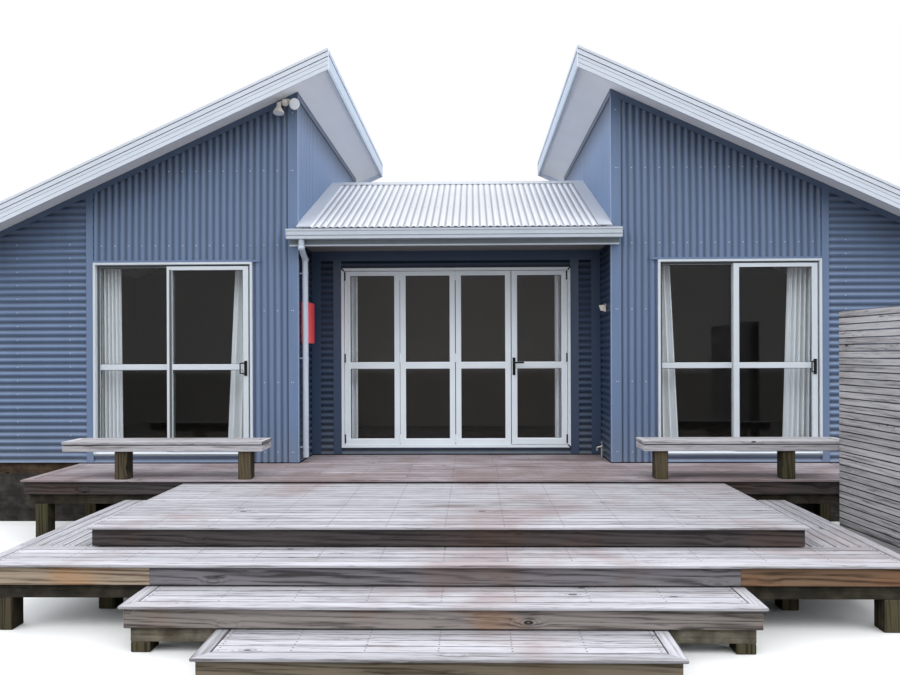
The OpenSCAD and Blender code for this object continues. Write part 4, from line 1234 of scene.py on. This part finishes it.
# %% Seat boards with mitred borders over edge boards
seats = Shape()
battens = Shape()
seat_thick = 0.028
shadow_gap = 0.009
edge_thick = 0.026
edge_inset = 0.006
for low, high in solids("bench_seats"):
    seat_low = high.z - seat_thick
    lay_across(seats, Vector((low.x, low.y, seat_low)), high, high.z, seat_thick,
               ("front", "back", "left", "right"))
    edge_zs = (low.z, seat_low - shadow_gap)
    for y in (low.y + edge_inset, high.y - edge_inset - edge_thick):
        span_board(seats, (low.x + edge_inset, high.x - edge_inset), (y, y + edge_thick),
                   edge_zs, 0, 0.5)
        span_board(battens, (low.x + 0.012, high.x - 0.012), (y + 0.006, y + 0.020),
                   (low.z + 0.010, seat_low), 0)
    for x in (low.x + edge_inset, high.x - edge_inset - edge_thick):
        ends = (low.y + edge_inset + edge_thick + seam, high.y - edge_inset - edge_thick - seam)
        span_board(seats, (x, x + edge_thick), ends, edge_zs, 1)
seat_piece = seats.piece("seat_boards", bench_grey, "bench_timber", bevel=0.003)
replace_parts(seat_piece, "bench_seats")
# The battens' dark timber is painted shade behind the gap.
battens.piece("seat_battens", shaded_under_timber, "bench_timber")

# %% [markdown]
# ## Fascias and the frames under the decks
# The fascias are split where the real ones butt together, and each level has weathered in its
# own way. One material that changes with height could do it, but its borders would run across
# the boards. Sorting the boards by height and place gives each board one look.


# %% Which look a fascia has
def fascia_look(low, high):
    """Which finish a fascia board has, from its height and its place."""
    if high.z > (main_deck_top + lower_deck_top) / 2:
        return "wet"
    if high.z > (lower_deck_top + step_tops[-1]) / 2:
        middle = (low.x + high.x) / 2
        return "grey" if abs(middle) < 2.2 else "russet" if middle > 0 else "pale"
    return "step" if high.z > sum(step_tops) / 2 else "low"


def long_way(low, high):
    """The level axis that a board runs along."""
    return 0 if high.x - low.x > high.y - low.y else 1


main_deck_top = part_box("main_deck")[1].z
lower_deck_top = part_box("lower_deck")[1].z
step_tops = sorted(high.z for low, high in solids("steps"))
print("levels", [round(top, 3) for top in (main_deck_top, lower_deck_top, *step_tops)])

# %% [markdown]
# The joists and bearers under the boards get the darker copy of the timber, a painted shade. The
# bearers of the steps stand in the open, in front of the lower deck, and get the lighter copy, a
# painted light.

# %% Fascia boards, joists and bearers
fascia_shapes = {look: Shape() for look in fascia_finishes}
for low, high in solids("deck_fascias"):
    box_board(fascia_shapes[fascia_look(low, high)], low, high, long_way(low, high))
for look, shape in fascia_shapes.items():
    made = shape.piece(look + "_fascia_boards", fascia_finishes[look], "fascia_timber",
                       bevel=0.003)
    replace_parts(made, "deck_fascias")

under = Shape()
step_bearers = Shape()
lower_deck_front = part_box("lower_deck")[0].y
for low, high in solids("deck_beams"):
    shape = step_bearers if low.y < lower_deck_front else under
    box_board(shape, low, high, long_way(low, high))
for shape, name, finish in ((under, "joists_and_bearers", shaded_under_timber),
                            (step_bearers, "step_bearers", lit_bearer_timber)):
    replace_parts(shape.piece(name, finish, "frame_timber", bevel=0.003), "deck_beams")

# %% [markdown]
# ## The screen
# The screen is a stack of narrow slats nailed to two posts. It turns a little away from the
# house. Turning a finished object would turn its grain too, which is as good, but laying the
# boards along their own turned direction keeps the piece in the model's own metres.

# %% The slatted screen
screen = Shape()
slat_nails = Shape()
screen_x = 3.680
screen_y = -1.035
screen_length = 1.800
screen_height = 1.600
screen_start = 0.010
screen_foot = 0.060
slat_height = 0.0605
slat_gap = 0.0025
slat_thick = 0.020
post_side = 0.090
turn = math.radians(5)
away = Vector((math.sin(turn), -math.cos(turn), 0))
outward = Vector((math.cos(turn), math.sin(turn), 0))
screen_end = at(screen_x, screen_y, 0)
slat_pitch = slat_height + slat_gap
for index in range(int((screen_height - screen_foot + deck_z) / slat_pitch)):
    z = screen_height - slat_height - index * slat_pitch
    start = screen_end + away * screen_start + Z_AXIS * z
    board(screen, start, away, outward, (screen_length, slat_thick, slat_height))
    spots = [start + away * reach + Z_AXIS * (slat_height / 2)
             for reach in (0.05, screen_length - 0.05)]
    screw_heads(slat_nails, spots, -outward, 0.004, 0.001)

far_post = (screen_end + away * (screen_length + screen_start - post_side)
            + outward * slat_thick - Z_AXIS * deck_z)
board(screen, far_post, Z_AXIS, away, (screen_height + deck_z, post_side, post_side))
near_post = at(screen_x + slat_thick, screen_y - post_side, -deck_z)
box_board(screen, near_post,
          near_post + Vector((post_side, post_side, screen_height + deck_z)), 2)
screen_piece = screen.piece("screen_slats", screen_grey, "screen_timber", bevel=0.002)
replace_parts(screen_piece, "slat_screen")
slat_nails.piece("screen_nails", nail_metal, "screen_timber", smooth=False)

# %% [markdown]
# ## Glazing
# Each pane sits in a bead that slopes down to the glass, with a thin black seal against it.
# A bevel on a frame can't give a seal of another material. One outline swept round the pane
# makes either of them with mitred corners. They move with the leaf that holds the glass.


# %% Beads and seals round every pane
def swept_ring(shape, low, high, outline):
    """An outline of (inset, y) points swept round a pane's rectangle, with mitred corners."""
    shape.rings([[Vector((x, y, z)) for x, z in (
        (low.x + inset, low.z + inset), (high.x - inset, low.z + inset),
        (high.x - inset, high.z - inset), (low.x + inset, high.z - inset))]
        for inset, y in outline], loop=True)


bead_rise = 0.0065
seal_wide = 0.004
for node, body in (("fixed_glass", "house"), ("swing_glass", "swing_leaf"),
                   ("left_sliding_glass", "left_sliding_panel"),
                   ("right_sliding_glass", "right_sliding_panel")):
    beads = Shape()
    seals = Shape()
    for low, high in solids(node):
        wide = 0.003 if low.y < front_y + 0.2 else 0.012
        for face, out in ((low.y, -1), (high.y, 1)):
            swept_ring(beads, low, high, [
                (0, face), (0, face + out * bead_rise), (0.4 * wide, face + out * bead_rise),
                (wide, face + out * 0.002), (wide, face)])
            swept_ring(seals, low, high, [
                (wide, face), (wide, face + out * 0.0022),
                (wide + seal_wide, face + out * 0.0012), (wide + seal_wide, face)])
    beads.piece(node + "_beads", door_coat, "door_aluminium", body)
    seals.piece(node + "_seals", black_rubber, "door_aluminium", body)

# %% [markdown]
# ## Frames of the sliding doors
# A door frame is not a plain bar. A bright lip laps the wall, and the channel behind it, in which
# the panel runs, lies in shade. Shading a plain bar in two tones would slide when it is seen from
# the side, so the lip and the channel are each swept round the opening. The channel also has a
# dark finish, which is painted shade.

# %% Lips and channels
lip = 0.026
channel = 0.052
eased = 0.002
proud = 0.0006
lip_y = front_y - 0.012
channel_y = front_y + 0.037
frame_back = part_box("slider_frames")[1].y
lips = Shape()
channels = Shape()
sill_faces = Shape()
openings = []
for left in (-slider_end_x, slider_x):
    low = Vector((left, 0, deck_z + floor_rise))
    high = Vector((left + slider_end_x - slider_x, 0, deck_z + head_height))
    openings.append((low, high))
    swept_ring(lips, low, high, [(0, channel_y), (0, lip_y + eased), (eased, lip_y),
                                 (lip - eased, lip_y), (lip, lip_y + eased), (lip, channel_y)])
    swept_ring(channels, low, high, [(0, frame_back), (0, channel_y), (channel, channel_y),
                                     (channel, frame_back)])
print("openings", [(round(low.x, 3), round(high.x, 3)) for low, high in openings])

# %% [markdown]
# The sill slopes outwards to shed water, with a darker face below its nose and a groove behind it
# where the panel's rollers run. The groove has the dark channel finish, which is painted shade.

# %% Sills
nose = [(0.0, 0.018), (0.0, 0.022), (lip, 0.042), (lip, 0.018)]
for low, high in openings:
    ends = (low.x + eased, high.x - eased)
    lips.rings([[Vector((x, lip_y - proud + y, low.z + z)) for y, z in nose] for x in ends])
    span_board(sill_faces, (low.x + 0.001, high.x - 0.001), (lip_y - proud, lip_y + 0.002),
               (low.z + 0.001, low.z + 0.018), 0)
    span_board(channels, (low.x + 0.040, high.x - 0.040), (front_y + 0.014, front_y + 0.022),
               (low.z + 0.030, low.z + 0.043), 0)
lip_piece = lips.piece("slider_lips", slider_coat, "door_aluminium")
# The channels, the groove and the fixed stiles have a dark finish: painted shade.
channel_piece = channels.piece("slider_channels", channel_shade, "door_aluminium")
sill_piece = sill_faces.piece("slider_sill_faces", dull_and_shaded_trim, "door_aluminium")

# %% [markdown]
# Behind the sliding panel stands the fixed light. Its rails show through the panel's glass in
# full light, and its stile, close behind the panel's own, gets the dark channel finish, a painted
# shade for the panel's shadow.

# %% The fixed light's rails and its stile
frame_face = 0.040
mid_rail = 0.058
foot_rail = 0.085
middle_height = 1.074
stile_xs = (0.829, 0.887)
light_ys = (front_y + 0.046, front_y + 0.082)
rails = Shape()
stiles = Shape()
for low, high in openings:
    for foot, tall in ((low.z + frame_face, foot_rail),
                       (deck_z + middle_height - mid_rail / 2, mid_rail)):
        span_board(rails, (low.x + frame_face, low.x + stile_xs[0]), light_ys,
                   (foot, foot + tall), 0)
    span_board(stiles, [low.x + x for x in stile_xs], light_ys,
               (low.z + frame_face, high.z - frame_face), 2)
rail_piece = rails.piece("fixed_light_rails", slider_coat, "door_aluminium", bevel=0.001)
stile_piece = stiles.piece("fixed_light_stiles", channel_shade, "door_aluminium", bevel=0.001)
for made in (lip_piece, channel_piece, sill_piece, rail_piece, stile_piece):
    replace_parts(made, "slider_frames")

# %% [markdown]
# The inner half of the left panel's meeting stile is covered by a thin strip in the dark channel
# finish, a painted shade. The strip rides with the panel.

# %% Painted shade on the inner half of the left panel's meeting stile
shaded = Shape()
panel_low, panel_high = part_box("left_sliding_panel")
span_board(shaded, (panel_low.x + 0.028, panel_low.x + 0.057),
           (panel_low.y - proud, panel_low.y + 0.002),
           (panel_low.z + 0.002, panel_high.z - 0.038), 2)
shaded.piece("left_meeting_shade", channel_shade, "door_aluminium", "left_sliding_panel")

# %% [markdown]
# ## Hinges
# The folding doors hang on black barrel hinges, three to a jamb. A plain rod would do for a
# stand-in, but a real barrel is a row of rings, taken in turn by the jamb and by the leaf. So the
# middle ring is a piece of its own: on the swing leaf it rides with the leaf, and on the left
# leaf it stays on the house like the outer two.


# %% Black hinges on both jambs
def barrel(shape, middle, low, high, radius, sides=20, ease=0.001):
    """A ring of a hinge barrel, with its edges eased."""
    levels = [(low, radius - ease), (low + ease, radius), (high - ease, radius),
              (high, radius - ease)]
    shape.rings([[Vector((middle.x + r * math.cos(2 * math.pi * k / sides),
                          middle.y + r * math.sin(2 * math.pi * k / sides), z))
                  for k in range(sides)] for z, r in levels])


hinge_x = 1.332
hinge_y = 0.641
hinge_radius = 0.0088
knuckle = 0.035
jamb_parts = Shape()
left_leaf_parts = Shape()
swing_parts = Shape()
for side, leaf_parts in ((1, swing_parts), (-1, left_leaf_parts)):
    for height in (floor_rise + 0.105, middle_height + 0.090, head_height - 0.097):
        middle = at(side * hinge_x, hinge_y, height)
        for place in (-1, 0, 1):
            low = middle.z + place * (knuckle + 0.0003) - knuckle / 2
            barrel(leaf_parts if place == 0 else jamb_parts, middle, low, low + knuckle,
                   hinge_radius)
jamb_parts.piece("jamb_hinges", black_metal, "door_aluminium")
left_leaf_parts.piece("left_leaf_hinges", black_metal, "door_aluminium")
swing_parts.piece("swing_leaf_hinges", black_metal, "door_aluminium", "swing_leaf")

# %% [markdown]
# ## Joints and edges
# Folded sheet has a rounded corner with a bright highlight, and where two parts meet there is a
# thin gap in shadow. These lines are only a few millimetres wide, yet they draw the whole house
# from the deck. Bump can't draw a line that long and sharp, so slim strips lie on the faces they
# belong to: a paler strip is a painted highlight, and a dark strip is a painted shadow.


# %% Painted gap shadows and painted corner highlights on the pods
def slim(shape, side, xs, ys, zs):
    """A slim strip between two places each way, mirrored to one side."""
    xs = sorted(side * x for x in xs)
    box_board(shape, at(xs[0], ys[0], zs[0]), at(xs[1], ys[1], zs[1]),
              1 if ys[1] - ys[0] > zs[1] - zs[0] else 2)


gaps = Shape()
shines = Shape()
corner_lap = 0.003
corner_face = corner_x - corner_lap - proud
eave_x = high_x - 0.035
eave_foot = pod_soffit(eave_x) - 0.070
eave_step = pod_soffit(eave_x) + 0.110
for side in (1, -1):
    slim(shines, side, (corner_face, corner_x + 0.004), (-corner_lap - proud, 0.003),
         (clad_foot, high_wall - 0.08))
    for zs in ((high_wall - 0.010, high_wall - 0.002), (high_wall - 0.082, high_wall - 0.075)):
        slim(gaps, side, (corner_face, corner_x), (0.02, pod_depth - 0.02), zs)
    for zs in ((eave_step - 0.008, eave_step), (eave_foot + 0.020, eave_foot + 0.026)):
        slim(gaps, side, (eave_x + 0.006 - proud, eave_x + 0.010),
             (-0.26, pod_depth + 0.26), zs)
print("eave strips from z", round(deck_z + eave_foot, 3))

# %% [markdown]
# A barge is built up of two boards and a flashing, so four lines of painted shadow run down its
# face where the parts meet. They slant with the roof, so each is a box stretched between two
# heights above the soffit. All the painted shadow lines are one piece, and the painted corner
# highlights are another.

# %% Painted shadow lines down the barges
barge_ends = (1.330, 5.985)
barge_lines = ((0.326, (0.122, 0.1285)), (0.322, (0.066, 0.0725)), (0.322, (0.029, 0.032)),
               (0.322, (-0.0245, -0.018)))
for side in (1, -1):
    for out, rises in barge_lines:
        for ys in ((-out - proud, -out), (pod_depth + out, pod_depth + out + proud)):
            gaps.add([at(side * x, y, pod_soffit(x) + rise)
                      for x in barge_ends for rise in rises for y in ys], BOX_FACES)
gaps.piece("sheet_gap_shadows", gap_shadow, "blue_cladding")
shines.piece("corner_painted_highlights", painted_edge_highlight, "blue_cladding", bevel=0.0008)

# %% [markdown]
# A gutter is rolled with two beads along its face, and a dark strip under each bead is a painted
# shadow. The board behind it has a pale lower bead under a face in the darker trim, a painted
# shade from the gutter above it. The strips follow the long runs at the front and at the back.


# %% Painted shadows on the gutters and painted shade on the boards behind them
def long_runs(node):
    """The long pieces of a node, the y of their outer face and the way that it faces."""
    runs = []
    for low, high in solids(node):
        if high.x - low.x >= 2:
            at_front = low.y < front_y + 1
            runs.append((low, high, low.y if at_front else high.y, -1 if at_front else 1))
    return runs


bands = Shape()
skins = Shape()
eave_beads = Shape()
for low, high, edge, out in long_runs("gutters"):
    for z, inset in ((high.z - 0.0255, 0.005), (low.z + 0.0345, 0.0085)):
        span_board(bands, (low.x + 0.004, high.x - 0.004),
                   (edge - out * (inset - proud), edge - out * (inset + 0.002)),
                   (z, z + 0.005), 0)
for low, high, edge, out in long_runs("eave_fascias"):
    face = edge - out * 0.005
    span_board(skins, (low.x + 0.001, high.x - 0.001), (face + out * proud, face - out * 0.002),
               (low.z + 0.019, high.z - 0.004), 0)
for low, high, edge, out in long_runs("eave_fascias"):
    span_board(eave_beads, (low.x + 0.001, high.x - 0.001), (edge - proud, edge + proud),
               (low.z + 0.001, low.z + 0.017), 0)
eave_beads.piece("eave_beads", pale_trim, "pale_trim", bevel=0.0005)
bands.piece("gutter_bead_shadows", gap_shadow, "gutter_metal")
skins.piece("eave_shade_skins", dull_and_shaded_trim, "pale_trim")

# %% [markdown]
# Rubber seals close the gaps between the folding leaves. Each gap lies midway between two
# panes, so its place is read from the glass and not typed.

# %% Seals between the folding leaves
leaf_seals = Shape()
leaf_face = front_y + recess_depth
leaf_zs = (deck_z + floor_rise + frame_face, deck_z + head_height - frame_face)
panes = [box for node in ("fixed_glass", "swing_glass") for box in solids(node)
         if leaf_face - 0.05 < box[0].y < leaf_face + 0.2 and box[0].z > deck_z + 1]
panes.sort(key=lambda box: box[0].x)
for index, half in enumerate((0.0022, 0.0045, 0.0008)):
    x = (panes[index][1].x + panes[index + 1][0].x) / 2
    span_board(leaf_seals, (x - half, x + half), (leaf_face - proud, leaf_face + 0.002),
               leaf_zs, 2)
print("panes in the folding leaves:", len(panes))

# %% [markdown]
# The corners of the folding frame are joined by keys, and their mitres show as short dark
# slants. They join the seals in one piece.

# %% Dark keys at the frame's corners
frame_low, frame_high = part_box("folding_frame")
key_length = 0.046
key_width = 0.018
for x, z in ((frame_low.x, frame_high.z), (frame_high.x, frame_high.z),
             (frame_high.x, frame_low.z)):
    inward_x = 1 if x < 0 else -1
    inward_z = 1 if z < deck_z + 1 else -1
    key_along = Vector((inward_x, 0, inward_z)).normalized()
    key_across = Vector((-inward_z, 0, inward_x)).normalized()
    start = Vector((x, leaf_face - 0.012, z)) - key_across * key_width / 2
    board(leaf_seals, start, key_along, key_across, (key_length, key_width, 0.001))
leaf_seals.piece("leaf_seals", black_rubber, "door_aluminium")

# %% [markdown]
# ## Lamp faces
# The floodlights' bodies are carried over, and they lack only their glass faces. A face is a
# low dome. A squashed sphere would be as good, but an outline turned round the lamp's own axis
# needs no turning afterwards.


# %% Floodlight lenses
def turned(shape, centre, axis, profile, sides=28):
    """A round shape: profile gives places along the axis and radii."""
    sideways = axis.orthogonal().normalized()
    other = axis.cross(sideways)
    angles = [2 * math.pi * k / sides for k in range(sides)]
    shape.rings([[centre + axis * along + sideways * radius * math.cos(angle)
                  + other * radius * math.sin(angle) for angle in angles]
                 for along, radius in profile])


lens = 0.054
lens_profile = [(0.1165, lens), (0.1190, lens), (0.1205, lens - 0.006), (0.1215, lens * 0.55),
                (0.1220, lens * 0.1)]
flood_x = -corner_x - 0.130
flood_z = pod_soffit(corner_x + 0.180) - 0.030
lenses = Shape()
for (x, y, z), tip, way in (((-0.055, -0.080, -0.042), 170, 270),
                            ((0.062, -0.062, -0.020), 117, -47)):
    tip, way = math.radians(tip), math.radians(way)
    axis = Vector((math.sin(tip) * math.cos(way), math.sin(tip) * math.sin(way),
                   math.cos(tip)))
    turned(lenses, at(flood_x + x, y, flood_z + z), axis, lens_profile)
lenses.piece("flood_lenses", lamp_lens, "lamp_white")

# %% [markdown]
# The wall lamp by the door is half a drum with a black cap, a half disc six millimetres thick.
# The black cap is a painted shade for the dark top of the lamp.

# %% The black cap of the wall lamp, a painted shade
cap_radius = 0.064
lamp_point = at(corner_x, 0.350, 1.735)
cap_rim = [lamp_point - Vector((0.012 + cap_radius * math.sin(math.pi * k / 14),
                                cap_radius * math.cos(math.pi * k / 14), 0))
           for k in range(15)]
cap = Shape()
cap.rings([[point + Z_AXIS * rise for point in cap_rim] for rise in (0.0315, 0.0375)])
cap.piece("wall_lamp_cap", black_metal, "lamp_white")

# %% [markdown]
# ## The red case
# The case on the recess wall is moulded plastic with a bowed front. A bevelled cube would be
# square to the wall all round. So its outline, seen from above, is drawn once, and the first
# and the last level are pulled in to ease its edges.

# %% The red case with its bowed front
case = Shape()
case_low, case_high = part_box("red_wall_case")
case_wide = case_high.x - case_low.x
case_deep = case_high.y - case_low.y
case_ease = 0.006
bow = [Vector((case_low.x, case_low.y, 0))]
for share in (k / 16 for k in range(17)):
    bulge = math.sin(math.pi * share) ** 0.6
    bow.append(Vector((case_low.x + case_wide * (0.62 + 0.38 * bulge),
                       case_low.y + case_deep * share, 0)))
bow.append(Vector((case_low.x, case_high.y, 0)))
wall_middle = Vector((case_low.x, (case_low.y + case_high.y) / 2, 0))
small_bow = [point.lerp(wall_middle, 0.10) for point in bow]
case.rings([[point + Z_AXIS * z for point in outline] for z, outline in (
    (case_low.z, small_bow), (case_low.z + case_ease, bow), (case_high.z - case_ease, bow),
    (case_high.z, small_bow))])
case_piece = case.piece("red_case", case_red, "red_plastic")
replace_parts(case_piece, "red_wall_case")

# %% [markdown]
# ## Curtains
# A gathered curtain keeps its full width of cloth whether its folds are shallow or deep. A
# cloth simulation would find the folds by itself, but slowly. Here each level of the mesh is
# given the same length of cloth, and the depth of its folds is found from the width that it
# hangs in.


# %% How deep the folds are
def fold_depth(cloth, width, folds):
    """How deep the folds must be for this much cloth to hang in this width."""
    low, high = 0.0, 0.2
    steps = folds * 16
    waves = [math.sin(2 * math.pi * folds * k / steps) for k in range(steps + 1)]
    for _ in range(40):
        depth = (low + high) / 2
        length = sum(math.hypot(width / steps, depth * (after - before))
                     for before, after in zip(waves, waves[1:]))
        low, high = (depth, high) if length < cloth else (low, depth)
    return depth


print("folds of 0.75 m of cloth in 0.3 m:", round(fold_depth(0.75, 0.3, 5), 4), "m deep")

# %% [markdown]
# The curtain hangs from straight pleats at the track, and its folds wander a little towards
# the foot, as cloth does.


# %% Hang one curtain
def curtain(name, top_edges, foot_edges, y, bottom, top, folds, cloth):
    """A pleated curtain between its edges at the top and at the foot."""
    levels = 40
    columns = folds * 12
    wander = [chance.uniform(-0.15, 0.15) for _ in range(folds * 2)]
    points = []
    for level in range(levels + 1):
        rise = level / levels
        left, right = (foot + (head - foot) * rise for foot, head in zip(foot_edges, top_edges))
        depth = fold_depth(cloth, right - left, folds)
        for column in range(columns + 1):
            share = column / columns
            sway = wander[int(share * (len(wander) - 1))] * (1 - rise) * 0.3
            points.append(Vector((left + (right - left) * share,
                                  y + depth * math.sin(2 * math.pi * folds * share + sway),
                                  bottom + (top - bottom) * rise)))
    row = columns + 1
    faces = [(row * i + k, row * i + k + 1, row * (i + 1) + k + 1, row * (i + 1) + k)
             for i in range(levels) for k in range(columns)]
    shape = Shape()
    shape.add(points, faces)
    made = shape.piece(name, curtain_cloth, "curtain_cloth", sharp=180)
    return made


# %% [markdown]
# Each sliding door has a curtain at both sides, and the folding doors have a narrow one at
# each end. How far each is drawn differs, so the edges at the track and at the foot are given
# one by one.

# %% Hang the curtains
track_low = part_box("curtain_tracks")[0].z
curtain_low = deck_z + floor_rise + 0.015
curtain_y = front_y + clad_thick + 0.110 + 0.055
link_y = curtain_y + recess_depth
right_link = (1.21, 1.43)
left_link = (-1.43, -1.21)
hung = {
    "right_inner_curtain": ((2.13, 2.425), (2.13, 2.53), curtain_y, 5, 0.75),
    "right_outer_curtain": ((3.758, 4.16), (3.685, 4.16), curtain_y, 8, 1.2),
    "left_inner_curtain": ((-2.497, -2.13), (-2.60, -2.13), curtain_y, 5, 0.85),
    "left_outer_curtain": ((-4.16, -3.82), (-4.16, -3.80), curtain_y, 8, 1.1),
    "right_link_curtain": (right_link, right_link, link_y, 4, 0.55),
    "left_link_curtain": (left_link, left_link, link_y, 4, 0.55),
}
curtains = [curtain(name, top_edges, foot_edges, y, curtain_low, track_low, folds, cloth)
            for name, (top_edges, foot_edges, y, folds, cloth) in hung.items()]
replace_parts(curtains[0], "curtains")

# %% [markdown]
# ## Light, floor and camera
# The day is overcast, so the light is an even white sky with one broad soft lamp to give the
# eaves their shadow. Rays that only look at the background, or that glass and metal send
# there, see plain white. Several lamps could do the same, but a sky lights every side alike.

# %% The sky
world = bpy.data.worlds.new("overcast sky")
bpy.context.scene.world = world
world.use_nodes = True
world.node_tree.nodes.clear()
sky = Wiring(world.node_tree)
bearing = sky.parts(sky.node("ShaderNodeTexCoord").outputs["Generated"])
overhead = sky.fade(bearing["Z"], 0.10, 0.80, 0.50, 1.20)
beside_house = sky.maths(
    "MULTIPLY", sky.fade(sky.maths("ABSOLUTE", bearing["X"]), 0.35, 0.80, 0.0, 3.8),
    sky.fade(bearing["Z"], 0.0, 0.20))
from_back = sky.fade(bearing["Y"], -0.75, 0.10, 0.55, 1.0)
strength = sky.maths("MULTIPLY", sky.maths("ADD", overhead, beside_house), from_back)
grey_light = sky.node("ShaderNodeBackground")
grey_light.inputs["Color"].default_value = (0.93, 0.96, 1.0, 1)
sky.wire(strength, grey_light.inputs["Strength"])
plain_white = sky.node("ShaderNodeBackground")
plain_white.inputs["Color"].default_value = (1, 1, 1, 1)
rays = sky.node("ShaderNodeLightPath").outputs
looking = sky.maths("MAXIMUM", rays["Is Camera Ray"], rays["Is Glossy Ray"])
looking = sky.maths("MAXIMUM", looking, rays["Is Transmission Ray"])
choose = sky.node("ShaderNodeMixShader")
for socket, source in zip(choose.inputs, (looking, grey_light.outputs[0],
                                          plain_white.outputs[0])):
    sky.wire(source, socket)
sky.wire(choose.outputs[0], sky.node("ShaderNodeOutputWorld").inputs["Surface"])
print("sky ready")

# %% [markdown]
# The lamp is a sun with a very wide disc. It stands for the brightest part of the clouds, and
# its shadows are so soft that only the eaves and the decks show them.

# %% The broad soft lamp
soft = bpy.data.lights.new("broad soft lamp", "SUN")
soft.energy = 1.2
soft.angle = math.radians(40)
soft_lamp = bpy.data.objects.new("broad_soft_lamp", soft)
soft_lamp.rotation_euler = (math.radians(30), math.radians(6), 0)
bpy.context.scene.collection.objects.link(soft_lamp)
print("lamp strength", soft.energy)

# %% [markdown]
# The floor is pale to the camera, but it throws little light up at the house, as real ground
# under a deck does. So its colour depends on who looks.

# %% The floor
floor_reach = 60
pale_ground = (0.80, 0.80, 0.79)
floor_mesh = bpy.data.meshes.new("floor")
floor_mesh.from_pydata([(-floor_reach, -floor_reach, 0), (floor_reach, -floor_reach, 0),
                        (floor_reach, floor_reach, 0), (-floor_reach, floor_reach, 0)],
                       [], [(0, 1, 2, 3)])
floor_finish = Finish("pale floor", pale_ground, 0.9)
seen = floor_finish.node("ShaderNodeLightPath").outputs["Is Camera Ray"]
floor_finish.colour(floor_finish.mix(seen, (0.16, 0.155, 0.145), pale_ground))
floor_mesh.materials.append(floor_finish.material)
floor_object = bpy.data.objects.new("floor", floor_mesh)
bpy.context.scene.collection.objects.link(floor_object)
print("floor", 2 * floor_reach, "m across")

# %% [markdown]
# The camera stands in front of the steps, about 1.9 m above the ground, and looks almost
# straight at the link. Its numbers come from matching the straight edges of the house, so a
# small shift and a slight roll stay in.

# %% The camera
picture_width = 900
yaw = 0.0182055
roll = -0.0037978
camera = bpy.data.cameras.new("camera")
camera.lens = 28
camera.sensor_width = 36
camera.shift_x = -9.861 / picture_width
camera.shift_y = 15.841 / picture_width
camera.dof.use_dof = False
camera.clip_end = 200
level_right = Vector((math.cos(yaw), math.sin(yaw), 0))
forward = Vector((-math.sin(yaw), math.cos(yaw), 0))
right_axis = level_right * math.cos(roll) + Z_AXIS * math.sin(roll)
up_axis = Z_AXIS * math.cos(roll) - level_right * math.sin(roll)
facing = Matrix((right_axis, up_axis, -forward)).transposed().to_4x4()
camera_object = bpy.data.objects.new("camera", camera)
camera_object.matrix_world = Matrix.Translation(at(0.2032, -7.7583, 1.2169)) @ facing
bpy.context.scene.collection.objects.link(camera_object)
bpy.context.scene.camera = camera_object
bpy.context.scene.view_settings.view_transform = "Standard"
print("camera at", [round(value, 3) for value in camera_object.matrix_world.translation])
